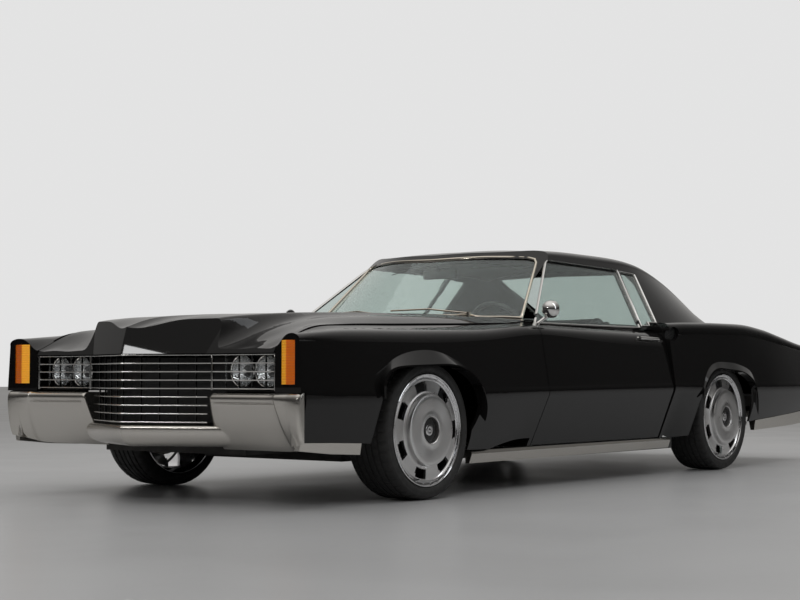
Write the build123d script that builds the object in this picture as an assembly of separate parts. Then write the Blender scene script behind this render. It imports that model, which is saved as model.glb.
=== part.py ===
from build123d import *
import math
import os

os.makedirs("parts", exist_ok=True)

# Full-size two-door luxury coupe, front-wheel drive. Millimetres.
# Frame: +X is the car's left side, the car faces -Y, +Z is up, the origin is on the
# ground under the middle of the car. A station s is a distance behind the front axle;
# at() and from_rear() turn stations into Y.

# ---- driving dimensions -------------------------------------------------------------
WHEELBASE = 3048.0
FRONT_OVERHANG = 1062.0
REAR_OVERHANG = 1503.0
FRONT_AXLE_Y = FRONT_OVERHANG - (FRONT_OVERHANG + WHEELBASE + REAR_OVERHANG) / 2
REAR_AXLE_Y = FRONT_AXLE_Y + WHEELBASE

# ---- wheels and steering ------------------------------------------------------------
TYRE_RADIUS = 325.0
TYRE_WIDTH = 245.0
RIM_RADIUS = 263.0
RIM_WIDTH = 232.0
BARREL_RADIUS = 243.0
BARREL_WALL = 7.0
DISC_RADIUS = 169.0
DISC_SETBACK = 34.0
DISC_THICKNESS = 22.0
WINDOW_COUNT = 10
CAP_RADIUS = 52.0
BOLT_COUNT = 5
BOLT_CIRCLE = 127.0
WHEEL_X_FRONT = 818.0
WHEEL_X_REAR = 812.0
HUB_Z = TYRE_RADIUS
KINGPIN_X = 740.0

# ---- panels -------------------------------------------------------------------------
SKIN = 32.0
PANEL_GAP = 5.5
GLASS = 6.0
GLASS_INSET = 10.0
CLEAR = 0.3
BELT_Z = 876.0
CREASE_ROUND = 30.0
STATION_STEP = 145.0

HOOD_HALF_WIDTH = 800.0
HOOD_THICKNESS = 28.0
HOOD_FRONT_Z = 677.0
HOOD_REAR_MID = 872.0
HOOD_REAR_CORNER = 1040.0
NOSE_HALF_WIDTH = 778.0

DOOR_FRONT = 960.0
DOOR_REAR = 2298.0
DOOR_INNER_X = 800.0
SILL_TOP_Z = 216.0

LID_HALF_WIDTH = 590.0
LID_FRONT = 720.0
LID_REAR = 1448.0
TAIL_INSET_X = 780.0

# ---- cabin --------------------------------------------------------------------------
FIREWALL = 1010.0
BULKHEAD = -60.0
FLOOR_Z = 190.0
FLOOR_THICKNESS = 14.0
TRUNK_FLOOR_Z = 440.0


def at(s):
    """Y of a station behind the front axle."""
    return FRONT_AXLE_Y + s


def from_rear(r):
    """Y of a station behind the rear axle."""
    return REAR_AXLE_Y + r


def lerp(a, b, t):
    return a + (b - a) * t


def smooth(points, s):
    """Height or width of a character line at s: a monotone curve through its points."""
    if s <= points[0][0]:
        return points[0][1]
    if s >= points[-1][0]:
        return points[-1][1]
    step = [b[0] - a[0] for a, b in zip(points, points[1:])]
    slope = [(b[1] - a[1]) / (b[0] - a[0]) for a, b in zip(points, points[1:])]
    tangent = [slope[0]]
    for i in range(1, len(slope)):
        left, right = slope[i - 1], slope[i]
        if left * right <= 0:
            tangent.append(0.0)
        else:
            w1 = 2 * step[i] + step[i - 1]
            w2 = step[i] + 2 * step[i - 1]
            tangent.append((w1 + w2) / (w1 / left + w2 / right))
    tangent.append(slope[-1])
    i = max(k for k in range(len(step)) if points[k][0] <= s)
    t = (s - points[i][0]) / step[i]
    a = (1 + 2 * t) * (1 - t) ** 2 * points[i][1] + t * t * (3 - 2 * t) * points[i + 1][1]
    b = t * (1 - t) ** 2 * tangent[i] - t * t * (1 - t) * tangent[i + 1]
    return a + b * step[i]


def stations(first, last, step=STATION_STEP):
    """Even stations from first to last, ends included."""
    count = max(2, round((last - first) / step))
    return [lerp(first, last, i / count) for i in range(count + 1)]


# ---- character lines of the front body, over stations behind the front axle ---------
FRONT_START = -1100.0
ROCKER_X = [(-1100, 922), (-925, 930), (-600, 942), (-350, 948), (0, 950), (450, 905), (900, 872), (2330, 880)]
ROCKER_Z = [(-1100, 300), (-600, 286), (0, 245), (450, 218), (900, 215), (2330, 215)]
CREASE_X = [(-1100, 954), (-925, 962), (-600, 980), (-300, 993), (0, 1000), (450, 997), (2330, 990)]
CREASE_Z = [(-1100, 486), (0, 487), (2330, 506)]
SHOULDER_X = [(-1100, 942), (-925, 949), (-600, 955), (0, 958), (900, 946), (2330, 944)]
SHOULDER_Z = [(-1100, 720), (-925, 724), (-600, 728), (0, 732), (450, 752), (960, 790), (1700, 758), (2330, 740)]
FENDER_X = [(-1100, 914), (-925, 922), (-600, 914), (0, 914), (900, 904), (2330, 900)]
FENDER_Z = [(-1100, 750), (-925, 755), (-760, 768), (-600, 777), (0, 788), (450, 802), (960, 834), (1700, 822),
            (2330, 812)]
EDGE_X = 795.0
EDGE_Z = [(-1100, 690), (-925, 698), (-860, 712), (-760, 764), (-600, 800), (0, 818), (900, 848), (1160, 870),
          (2330, 872)]
SHELF_Z = [(-1100, 672), (-960, 685), (-840, 712), (-600, 800), (-350, 846), (0, 866), (900, 884), (2330, 880)]
DOME_Z = [(-1100, 790), (-1024, 802), (-870, 843), (-718, 859), (-350, 879), (157, 893), (900, 902), (2330, 886)]

# The hood's raised centre: half width of its top, and the reach of the cove beside it.
TOP_X = [(-1100, 373), (-892, 378), (-809, 408), (-600, 424), (-350, 430)]
COVE = [(-1100, 6), (-892, 26), (-800, 48), (-350, 90)]
# Share of the fender's crown that has dropped towards the hood at the blade's inner top.
CROWN_DROP = [(-925, 0.12), (-600, 0.45)]


def half_section(y, low, crease, top, knots):
    """Closed half section (X >= 0): flat bottom, rocker, rounded crease, side, top."""
    shoulder = top[0]
    below = crease + (low - crease) * (CREASE_ROUND / (crease.Z - low.Z)) + Vector(3, 0, 0)
    above = crease + (shoulder - crease) * (CREASE_ROUND / (shoulder.Z - crease.Z)) + Vector(1, 0, 0)
    return Wire([
        Edge.make_line(Vector(0, y, low.Z), low),
        Edge.make_line(low, below),
        Edge.make_spline([below, crease, above], parameters=[0, 0.5, 1]),
        Edge.make_line(above, shoulder),
        Edge.make_spline(top, parameters=knots),
        Edge.make_line(top[-1], Vector(0, y, low.Z)),
    ])


def front_top(s, inset):
    """Points of the top line, from the side's shoulder in to the centreline."""
    y = at(s)
    shelf, dome, edge = smooth(SHELF_Z, s), smooth(DOME_Z, s), smooth(EDGE_Z, s)
    rise = dome - shelf
    fender_x, fender_z = smooth(FENDER_X, s), smooth(FENDER_Z, s)
    top_x, cove = smooth(TOP_X, s), smooth(COVE, s)
    foot = top_x + cove + 60
    outer = [
        (smooth(SHOULDER_X, s) - inset, smooth(SHOULDER_Z, s)),
        (fender_x - inset, fender_z),
        (lerp(EDGE_X, fender_x, 0.42) - inset, lerp(fender_z, edge, smooth(CROWN_DROP, s))),
        (EDGE_X - inset / 2, edge),
        (lerp(EDGE_X, foot, 0.4), lerp(edge, shelf, 0.72)),
        (lerp(EDGE_X, foot, 0.75), shelf),
        (foot, shelf + 0.02 * rise),
        (top_x + 0.55 * cove + 14, shelf + 0.2 * rise),
        (top_x + 0.3 * cove + 8, shelf + 0.5 * rise),
        (top_x + 0.1 * cove + 4, shelf + 0.82 * rise),
        (top_x - 22, dome - 0.05 * rise - 3),
        (0.55 * top_x, dome - 3),
        (0, dome),
    ]
    return [Vector(x, y, z - inset) for x, z in outer]


def chord_shares(lines):
    """Mean share of each line's length that is reached at each of its points."""
    total = None
    for points in lines:
        steps = [(b - a).length for a, b in zip(points, points[1:])]
        reached = [sum(steps[:i]) / sum(steps) for i in range(len(points))]
        total = reached if total is None else [a + b for a, b in zip(total, reached)]
    return [value / len(lines) for value in total]


FRONT_STATIONS = stations(FRONT_START, DOOR_REAR + 3)
TOP_KNOTS = chord_shares([front_top(s, 0) for s in FRONT_STATIONS])


def front_section(s, inset, drop):
    y = at(s)
    low = Vector(smooth(ROCKER_X, s) - inset, y, smooth(ROCKER_Z, s) - drop)
    crease = Vector(smooth(CREASE_X, s) - inset, y, smooth(CREASE_Z, s))
    return half_section(y, low, crease, front_top(s, inset), TOP_KNOTS)


def front_body(inset=0.0):
    """Left half of the body ahead of the rear wheel, as one smooth solid."""
    drop = 0.0 if inset == 0 else 120.0
    return Solid.make_loft([front_section(s, inset, drop) for s in FRONT_STATIONS])


# ---- character lines of the rear body, over stations behind the rear axle -----------
REAR_START = DOOR_REAR + PANEL_GAP - WHEELBASE
R_ROCKER_X = [(-720, 885), (-450, 925), (0, 955), (500, 945), (900, 925), (1505, 880)]
R_ROCKER_Z = [(-720, 215), (-300, 230), (340, 292), (900, 322), (1505, 362)]
R_CREASE_X = [(-720, 998), (-450, 1003), (0, 1006), (500, 995), (900, 972), (1505, 925)]
R_CREASE_Z = [(-720, 507), (0, 506), (1505, 506)]
R_SHOULDER_X = [(-720, 958), (0, 966), (500, 945), (900, 925), (1505, 890)]
R_SHOULDER_Z = [(-720, 812), (-300, 826), (200, 828), (700, 795), (1168, 738), (1505, 705)]
R_BLADE_X = [(-720, 926), (0, 930), (500, 908), (900, 890), (1505, 862)]
R_BLADE_Z = [(-720, 884), (-450, 892), (-50, 898), (250, 899), (560, 880), (900, 836), (1168, 798), (1505, 762)]
R_INNER_Z = [(-720, 878), (0, 892), (300, 894), (560, 880), (900, 842), (1505, 775)]
R_DECK_Z = [(-720, 884), (300, 902), (750, 896), (1100, 872), (1505, 815)]
REAR_KNOTS = [0, 0.09, 0.15, 0.28, 0.5, 0.75, 1]


def rear_section(r, inset, drop):
    y = from_rear(r)

    def p(x, z):
        return Vector(x - inset, y, z - inset)

    inner = smooth(R_INNER_Z, r)
    deck = smooth(R_DECK_Z, r)
    top = [
        p(smooth(R_SHOULDER_X, r), smooth(R_SHOULDER_Z, r)),
        p(smooth(R_BLADE_X, r), smooth(R_BLADE_Z, r)),
        p(smooth(R_BLADE_X, r) - 55, smooth(R_BLADE_Z, r) + 1),
        Vector(730, y, inner - inset),
        Vector(500, y, lerp(inner, deck, 0.55) - inset),
        Vector(250, y, lerp(inner, deck, 0.88) - inset),
        Vector(0, y, deck - inset),
    ]
    low = Vector(smooth(R_ROCKER_X, r) - inset, y, smooth(R_ROCKER_Z, r) - drop)
    crease = Vector(smooth(R_CREASE_X, r) - inset, y, smooth(R_CREASE_Z, r))
    return half_section(y, low, crease, top, REAR_KNOTS)


def rear_body(inset=0.0):
    """Left half of the body behind the door, as one smooth solid."""
    drop = 0.0 if inset == 0 else 120.0
    return Solid.make_loft([rear_section(r, inset, drop) for r in stations(REAR_START, REAR_OVERHANG)])


# ---- character lines of the greenhouse, over stations behind the front axle ---------
ROOF_START = 850.0
ROOF_END = 3520.0
ROOF_MID_Z = [(850, 1140), (1285, 1258), (1500, 1287), (1864, 1312), (2200, 1314), (2500, 1300), (2850, 1210),
              (3200, 1070), (3520, 930)]
DRIP_X = [(850, 640), (1500, 626), (2600, 612), (3300, 600), (3520, 600)]
DRIP_Z = [(850, 1236), (1285, 1246), (1516, 1246), (1900, 1242), (2300, 1236), (2482, 1226), (2716, 1186), (2933, 1122),
          (3237, 998), (3374, 938), (3520, 872)]
FOOT_X = [(850, 836), (1500, 832), (2600, 826), (3300, 806), (3520, 790)]
ROOF_KNOTS = [0, 0.1, 0.3, 0.6, 1]
FOOT_Z = 800.0


def roof_section(s, inset):
    y = at(s)
    middle = smooth(ROOF_MID_Z, s)
    drip = smooth(DRIP_Z, s)
    x = smooth(DRIP_X, s)
    foot = Vector(smooth(FOOT_X, s) + 46 - inset, y, FOOT_Z)
    top = [
        Vector(x - inset, y, drip - inset),
        Vector(x - 34 - inset, y, drip + 0.28 * (middle - drip) + 12 - inset),
        Vector(x - 170, y, lerp(drip, middle, 0.62) + 4 - inset),
        Vector(250, y, lerp(drip, middle, 0.94) - inset),
        Vector(0, y, middle - inset),
    ]
    return Wire([
        Edge.make_line(Vector(0, y, FOOT_Z), foot),
        Edge.make_line(foot, top[0]),
        Edge.make_spline(top, parameters=ROOF_KNOTS),
        Edge.make_line(top[-1], Vector(0, y, FOOT_Z)),
    ])


def greenhouse(inset=0.0):
    """Left half of the cabin's glass and roof block, before its ends are cut."""
    places = stations(ROOF_START, ROOF_END, 160)
    return Solid.make_loft([roof_section(s, inset) for s in places])


# ---- helpers ------------------------------------------------------------------------
def box(x0, x1, y0, y1, z0, z1):
    """Box between two corners."""
    size = (abs(x1 - x0), abs(y1 - y0), abs(z1 - z0))
    return Pos((x0 + x1) / 2, (y0 + y1) / 2, (z0 + z1) / 2) * Box(*size)


def plan_prism(points, z0, z1):
    """Prism over a plan outline given as (x, y) points."""
    face = Face(Wire.make_polygon([Vector(x, y, z0) for x, y in points], close=True))
    return Solid.extrude(face, Vector(0, 0, z1 - z0))


def side_prism(points, x0, x1):
    """Prism across the car over a side outline given as (y, z) points."""
    face = Face(Wire.make_polygon([Vector(x0, y, z) for y, z in points], close=True))
    return Solid.extrude(face, Vector(x1 - x0, 0, 0))


def ruled(lower, upper):
    """Solid with flat-ruled sides between two outlines of as many points."""
    return Solid.make_loft([
        Wire.make_polygon([Vector(*p) for p in lower], close=True),
        Wire.make_polygon([Vector(*p) for p in upper], close=True),
    ], True)


def flip(shape):
    return mirror(shape, about=Plane.YZ)


def both(shape):
    """A left-hand shape fused with its mirror image across the centreline."""
    return shape + flip(shape)


def solids_of(shape):
    return [s for s in (shape.solids() if hasattr(shape, "solids") else shape) if s.volume > 50]


def largest(shape):
    return max(solids_of(shape), key=lambda s: s.volume)


NODES = {}


def save(name, *shapes):
    """Keep a sub-part: one file, holding each of its solids."""
    kept = [s for shape in shapes for s in solids_of(shape)]
    NODES[name] = kept
    export_step(kept[0] if len(kept) == 1 else Compound(kept), f"parts/{name}.step")


def save_pair(name, left):
    """A left-hand sub-part and its mirror image."""
    save(f"{name}_left", left)
    save(f"{name}_right", flip(left))


# ---- master solids ------------------------------------------------------------------
FRONT = front_body()
FRONT_INNER = front_body(SKIN)
REAR = rear_body()
REAR_INNER = rear_body(SKIN)

# The V-shaped nose: plan points (x, s) of its front edge at a reference height. Both
# faces are flat: the centre leans back, and the knee also spreads outwards as it rises.
NOSE_LOW_Z, NOSE_HIGH_Z = 560.0, 920.0
NOSE_REF_Z = 687.0
NOSE_MID = (0.0, -1060.0)
NOSE_KNEE = (379.0, -894.0)
NOSE_OUTER = (NOSE_HALF_WIDTH, -891.0)
NOSE_LEAN = 0.3025
KNEE_SPREAD = 0.376


def slope_between(a, b):
    return (b[1] - a[1]) / (b[0] - a[0])


def nose_outline(z, back):
    """Half outline of the hood's nose at height z, moved back by an amount."""
    rise = z - NOSE_REF_Z
    knee_lean = NOSE_LEAN + KNEE_SPREAD * slope_between(NOSE_MID, NOSE_KNEE)
    outer_lean = knee_lean - KNEE_SPREAD * slope_between(NOSE_KNEE, NOSE_OUTER)
    points = []
    for (x, s), spread, lean in (
            (NOSE_MID, 0, NOSE_LEAN), (NOSE_KNEE, KNEE_SPREAD, knee_lean), (NOSE_OUTER, 0, outer_lean)):
        points.append((x + spread * rise, at(s + lean * rise) + back, z))
    return points + [(NOSE_HALF_WIDTH, at(1200), z), (0, at(1200), z)]


def nose_prism(back=0.0):
    return ruled(nose_outline(NOSE_LOW_Z, back), nose_outline(NOSE_HIGH_Z, back))


def hood_plan(gap, z0, z1):
    """Half plan of the hood, grown outwards by a gap."""
    w, n = HOOD_HALF_WIDTH + gap, NOSE_HALF_WIDTH + gap
    edges = [
        Edge.make_line((0, at(-1200), z0), (n, at(-1200), z0)),
        Edge.make_line((n, at(-1200), z0), (n, at(-860), z0)),
        Edge.make_line((n, at(-860), z0), (w, at(-700), z0)),
        Edge.make_line((w, at(-700), z0), (w, at(HOOD_REAR_CORNER + gap), z0)),
        Edge.make_three_point_arc(
            (w, at(HOOD_REAR_CORNER + gap), z0),
            (w * 0.52, at(lerp(HOOD_REAR_MID, HOOD_REAR_CORNER, 0.28) + gap), z0),
            (0, at(HOOD_REAR_MID + gap), z0)),
        Edge.make_line((0, at(HOOD_REAR_MID + gap), z0), (0, at(-1200), z0)),
    ]
    return Solid.extrude(Face(Wire(edges)), Vector(0, 0, z1 - z0))


# ---- hood ---------------------------------------------------------------------------
def hood():
    outer = FRONT & nose_prism() & hood_plan(0, HOOD_FRONT_Z, 960)
    under = front_body(HOOD_THICKNESS) & nose_prism(HOOD_THICKNESS)
    return both(largest(outer - under))


# ---- wheel arches -------------------------------------------------------------------
# Opening and eyebrow of each arch: (distance behind the axle, height), front to rear.
ARCH_FRONT = [(-408, 470), (-374, 590), (-250, 617), (-60, 623), (120, 622), (252, 584), (350, 498), (373, 425),
              (352, 348), (290, 250)]
ARCH_REAR = [(-418, 430), (-352, 548), (-262, 606), (-100, 612), (60, 602), (208, 568), (296, 505), (320, 410),
             (312, 320), (262, 200)]
BROW_FRONT = [(-404, 520), (-352, 630), (-270, 676), (-135, 705), (43, 702), (175, 664), (302, 602), (386, 510),
              (392, 400)]
BROW_REAR = [(-396, 520), (-330, 622), (-240, 660), (-100, 672), (30, 669), (160, 650), (290, 606), (346, 530),
             (350, 420)]
LIP_X = 1012.0
BROW_X_FRONT = 955.0
BROW_X_REAR = 980.0
LIP_GROWTH = 8.0
TYRE_CLEARANCE = 8.0


def arch_face(points, axle_y, x):
    """Closed face of an arch at half width x, run down below the sill."""
    top = [Vector(x, axle_y + y, z) for y, z in points]
    first = Vector(x, top[0].Y - 60, 100)
    last = Vector(x, top[-1].Y - 60, 100)
    return Face(Wire([
        Edge.make_line(first, top[0]),
        Edge.make_spline(top),
        Edge.make_line(top[-1], last),
        Edge.make_line(last, first),
    ]))


def arch_cut(points, axle_y, x0=640.0):
    """Opening of a wheel arch through the skin."""
    return Solid.extrude(arch_face(points, axle_y, x0), Vector(1100 - x0, 0, 0))


def eyebrow(opening, brow, axle_y, brow_x):
    """Flare round the upper part of an arch: a bevel that ends in a lip."""
    middle = opening[len(opening) // 2][0]
    lip = [(y + LIP_GROWTH * (y - middle) / 350, z + LIP_GROWTH) for y, z in opening[:len(brow)]]
    wires = []
    for x, points in ((brow_x, brow), (LIP_X, lip)):
        top = [Vector(x, axle_y + y, z) for y, z in points]
        wires.append(Wire([Edge.make_spline(top), Edge.make_line(top[-1], top[0])]))
    return Solid.make_loft(wires, True) - arch_cut(opening, axle_y)


def steering_sweep():
    """Space that the left front tyre needs about its kingpin from lock to lock."""
    reach = WHEEL_X_FRONT + TYRE_WIDTH / 2 + TYRE_CLEARANCE - KINGPIN_X
    radius = TYRE_RADIUS + TYRE_CLEARANCE
    ball = Pos(KINGPIN_X, FRONT_AXLE_Y, HUB_Z) * Sphere(math.hypot(reach, radius))
    return ball & box(0, 1200, FRONT_AXLE_Y - 500, FRONT_AXLE_Y + 500, 100, HUB_Z + radius)


# ---- front fenders ------------------------------------------------------------------
TIP_X = NOSE_HALF_WIDTH + PANEL_GAP
TIP_FRONT = -892.0
TIP_SLANT = -0.192
TIP_DEPTH = 105.0
TIP_LOW_Z = 506.0
LENS_X = (829.0, 868.0, 920.0)
LENS_S = (-900.0, -918.0, -913.0)
LENS_BACK = -875.0
LENS_Z = (541.0, 730.0)
BUMPER_END = -898.0
PILLAR_OUTER_X = 792.0
PILLAR_INNER_X = 712.0


def behind_tip():
    """Everything behind the slanted front plane of the left fender."""
    outer = 1100.0
    front = [(TIP_X - 400, at(TIP_FRONT)), (TIP_X, at(TIP_FRONT)), (outer, at(TIP_FRONT + TIP_SLANT * (outer - TIP_X)))]
    return plan_prism(front + [(outer, at(1200)), (TIP_X - 400, at(1200))], 0, 1000)


def fender():
    span = behind_tip() & box(0, 1100, at(-1000), at(DOOR_FRONT - PANEL_GAP), 100, 1000)
    shell = (FRONT & span) - FRONT_INNER
    shell = shell - hood_plan(PANEL_GAP, 560, 1000)
    shell = largest(shell & box(500, 1100, at(-1100), at(1200), 100, 1000))
    tip = FRONT & behind_tip() & box(TIP_X, 1100, at(-1000), at(TIP_FRONT + TIP_DEPTH), TIP_LOW_Z, 1000)
    jamb = FRONT & box(PILLAR_OUTER_X + CLEAR, 1100, at(DOOR_FRONT - PANEL_GAP - 30), at(DOOR_FRONT - PANEL_GAP),
                       SILL_TOP_Z, 1000)
    shell = shell + tip + (jamb - hood_plan(PANEL_GAP, 560, 1000))
    shell = shell + eyebrow(ARCH_FRONT, BROW_FRONT, FRONT_AXLE_Y, BROW_X_FRONT)
    shell = shell - arch_cut(ARCH_FRONT, FRONT_AXLE_Y) - steering_sweep()
    shell = shell - box(LENS_X[0] - CLEAR, LENS_X[2] + CLEAR, at(-1000), at(LENS_BACK) + CLEAR, LENS_Z[0] - CLEAR,
                        LENS_Z[1] + CLEAR)
    shell = shell - box(0, 1100, at(-1200), at(BUMPER_END + PANEL_GAP), 0, TIP_LOW_Z)
    return largest(shell)


def corner_lens():
    """Amber lens in the fender's front face, ridged where it turns to the side."""
    front = [(x, at(s)) for x, s in zip(LENS_X, LENS_S)]
    return plan_prism(front + [(LENS_X[2], at(LENS_BACK)), (LENS_X[0], at(LENS_BACK))], *LENS_Z)


# ---- cowl and firewall --------------------------------------------------------------
COWL_REAR = 1210.0


def cowl():
    top = (FRONT & box(0, PILLAR_OUTER_X, at(800), at(COWL_REAR), 700, 1000)) - front_body(SKIN)
    top = top - hood_plan(PANEL_GAP, 560, 1000)
    wall = FRONT & box(0, PILLAR_OUTER_X, at(FIREWALL + 48), at(FIREWALL + 60), FLOOR_Z + FLOOR_THICKNESS + CLEAR, 1000)
    pillar = FRONT_INNER & box(PILLAR_INNER_X, PILLAR_OUTER_X, at(DOOR_FRONT - PANEL_GAP - 30), at(FIREWALL + 60),
                               SILL_TOP_Z - 2 + CLEAR, 806)
    return both(largest(largest(top) + wall + pillar))


# ---- doors --------------------------------------------------------------------------
DOOR_HINGE_X = 996.0
DOOR_HINGE_S = DOOR_FRONT - PANEL_GAP / 2
DOOR_REACH = DOOR_REAR - DOOR_HINGE_S
POST_FOOT_X = 857.0
POST_FOOT_S = 2176.0


def door():
    """Door as thick as the real one; its rear face is an arc about the hinge."""
    block = FRONT & box(DOOR_INNER_X, 1100, at(DOOR_FRONT), at(DOOR_REAR), SILL_TOP_Z + PANEL_GAP, 1000)
    swing = Pos(DOOR_HINGE_X, at(DOOR_HINGE_S), 600) * Cylinder(DOOR_REACH, 1200)
    post_foot = box(DOOR_INNER_X - 5, POST_FOOT_X, at(POST_FOOT_S), at(DOOR_REAR + 5), BELT_Z - 35, 1000)
    return largest((block & swing) - post_foot)


def striker():
    """Latch post on the quarter, just clear of the door's rear face."""
    post = rod((930, at(DOOR_REAR - 8), 560), (930, at(DOOR_REAR + 20), 560), 9)
    return post - Pos(DOOR_HINGE_X, at(DOOR_HINGE_S), 600) * Cylinder(DOOR_REACH + CLEAR, 1200)


# ---- quarters, deck and tail --------------------------------------------------------
SCOOP_S, SCOOP_Z = 2352.0, 822.0
SCOOP_LENGTH, SCOOP_HEIGHT = 128.0, 78.0
SCOOP_X = 934.0


def scoop():
    """Shallow oval mouth where the quarter's blade begins behind the door."""
    oval = Face(Wire.make_ellipse(SCOOP_LENGTH / 2, SCOOP_HEIGHT / 2, Plane(
        origin=(SCOOP_X, at(SCOOP_S), SCOOP_Z), x_dir=(0, 1, 0.24), z_dir=(1, 0, 0))))
    return Solid.extrude(oval, Vector(200, 0, 0))


def quarter():
    front = REAR_START
    shell = REAR - (REAR_INNER & box(0, 1100, from_rear(front + SKIN), from_rear(1505 - SKIN), 0, 1000))
    shell = shell - box(-1, DOOR_INNER_X - 8, from_rear(front) - 10, from_rear(BULKHEAD), 0, 1000)
    shell = shell - box(-1, LID_HALF_WIDTH + PANEL_GAP, from_rear(BULKHEAD) - 1, from_rear(1600), 0, 1000)
    shell = shell - box(-1, TAIL_INSET_X, from_rear(LID_REAR), from_rear(1600), 0, 1000)
    shell = largest(shell) + eyebrow(ARCH_REAR, BROW_REAR, REAR_AXLE_Y, BROW_X_REAR)
    shell = shell - arch_cut(ARCH_REAR, REAR_AXLE_Y) + striker() - scoop()
    return largest(shell)


def rear_deck():
    """Deck behind the rear window with the parcel shelf and seat bulkhead."""
    x = LID_HALF_WIDTH + PANEL_GAP - CLEAR
    deck = (REAR - REAR_INNER) & box(0, x, from_rear(BULKHEAD), from_rear(LID_FRONT - PANEL_GAP), 700, 1000)
    wall = box(0, x, from_rear(BULKHEAD), from_rear(BULKHEAD + 14),
               TRUNK_FLOOR_Z + FLOOR_THICKNESS + CLEAR, 870)
    return both(largest(deck + wall))


def trunk_lid():
    lid = (REAR - rear_body(HOOD_THICKNESS)) & box(0, LID_HALF_WIDTH, from_rear(LID_FRONT), from_rear(LID_REAR), 600, 1000)
    return both(largest(lid))


TAIL_WALL = 26.0
PLATE_Z = 560.0
PLATE_HOLE_X = 178.0
PLATE_HOLE_Z = 121.0
PLATE_HOLE_RADIUS = 3.5


def tail_panel():
    y0, y1 = from_rear(LID_REAR - 40), from_rear(LID_REAR - 40 + TAIL_WALL)
    wall = rear_body(SKIN + CLEAR) & box(0, TAIL_INSET_X + 20, y0, y1, 330, 1000)
    buffer = rear_body(HOOD_THICKNESS + CLEAR) & box(430, 470, y0, y1, 600, 1000)
    plate = both(largest(largest(wall) + buffer))
    for x in (-PLATE_HOLE_X / 2, PLATE_HOLE_X / 2):
        for z in (PLATE_Z - PLATE_HOLE_Z / 2, PLATE_Z + PLATE_HOLE_Z / 2):
            plate = plate - rod((x, y0 - 5, z), (x, y1 + 5, z), PLATE_HOLE_RADIUS)
    return plate


# ---- greenhouse ---------------------------------------------------------------------
SCREEN_BASE_Z, SCREEN_TOP_Z = 890.0, 1240.0
SCREEN_BASE = (924.0, 1130.0, 700.0)
SCREEN_TOP = (1285.0, 1486.0, 585.0)


def screen_outline(z, back, x_end=1000.0):
    """Plan curve of the windshield at height z: an arc sweeping back to the sides."""
    t = (z - SCREEN_BASE_Z) / (SCREEN_TOP_Z - SCREEN_BASE_Z)
    middle = lerp(SCREEN_BASE[0], SCREEN_TOP[0], t) + back
    corner = lerp(SCREEN_BASE[1], SCREEN_TOP[1], t) + back
    x = lerp(SCREEN_BASE[2], SCREEN_TOP[2], t)
    sweep = corner - middle
    return [Vector(x * k, at(middle + sweep * k ** 2), z) for k in (0, 0.5, 1.0, 1.3)]


def screen_block(back=0.0):
    """Everything behind the windshield's plane."""
    wires = []
    for z in (780.0, 1400.0):
        curve = screen_outline(z, back)
        end = curve[-1]
        wires.append(Wire([
            Edge.make_spline(curve, parameters=[0, 0.4, 0.77, 1], tangents=None),
            Edge.make_line(end, Vector(end.X, at(4300), z)),
            Edge.make_line(Vector(end.X, at(4300), z), Vector(0, at(4300), z)),
            Edge.make_line(Vector(0, at(4300), z), curve[0]),
        ]))
    return Solid.make_loft(wires, True)


REAR_GLASS = [(-528, 1262), (282, 890)]


def rear_glass_cut(lift):
    """Space behind the rear window, between the sail panels."""
    (r0, z0), (r1, z1) = REAR_GLASS
    slope = (z1 - z0) / (r1 - r0)
    points = [
        (from_rear(r0 - 160) + lift, z0 - slope * 160),
        (from_rear(r1 + 200) + lift, z1 + slope * 200),
        (from_rear(1300), 700),
        (from_rear(1300), 1500),
        (from_rear(r0 - 160) + lift, 1500),
    ]
    return points


SAIL_INNER_X = 560.0
CABIN = greenhouse() & screen_block()
CABIN_INNER = greenhouse(SKIN) & screen_block(SKIN)
CABIN = CABIN - side_prism(rear_glass_cut(0), -1, SAIL_INNER_X)
CABIN_INNER = CABIN_INNER - side_prism(rear_glass_cut(-SKIN), -1, SAIL_INNER_X + SKIN)

# Side windows, as (s, z) corners.
DOOR_WINDOW = [(1049, 848), (1476, 1196), (1516, 1214), (2270, 1200), (2179, 848)]
QUARTER_WINDOW = [(2194, 860), (2282, 1200), (2484, 1190), (2402, 860)]


def offset_outline(points, grow):
    """Corners of a clockwise outline with every side moved out by the same amount."""
    lines = []
    for (x0, z0), (x1, z1) in zip(points, points[1:] + points[:1]):
        length = math.hypot(x1 - x0, z1 - z0)
        normal = (-(z1 - z0) / length, (x1 - x0) / length)
        lines.append((normal, normal[0] * x0 + normal[1] * z0 + grow))
    corners = []
    for ((a, b), c), ((d, e), f) in zip(lines[-1:] + lines[:-1], lines):
        det = a * e - b * d
        corners.append(((c * e - b * f) / det, (a * f - c * d) / det))
    return corners


def window(points, grow=0.0):
    """Prism over a side window, from outside to the middle of the cabin."""
    grown = [(at(s), z) for s, z in offset_outline(points, grow)]
    inner = [(lerp(756, 548, (z - 860) / 350), y, z) for y, z in grown]
    return ruled(inner, [(1000, y, z) for y, z in grown])


def screen_window(grow=0.0):
    """Front view outline of the windshield, run back through the header."""
    points = [(0, 850), (716 + grow, 850), (700 + grow, 905), (598 + grow, 1196 + grow), (580 + grow, 1216 + grow),
              (540, 1226 + grow), (440, 1231 + grow), (0, 1240 + grow)]
    face = Face(Wire.make_polygon([Vector(x, at(700), z) for x, z in points], close=True))
    return Solid.extrude(face, Vector(0, 840, 0))


def rear_window_cut(grow=0.0):
    points = [(0, 860), (500 + grow, 860), (470 + grow, 1200 + grow), (0, 1210 + grow)]
    face = Face(Wire.make_polygon([Vector(x, from_rear(-560), z) for x, z in points], close=True))
    return Solid.extrude(face, Vector(0, 900, 0))


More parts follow.
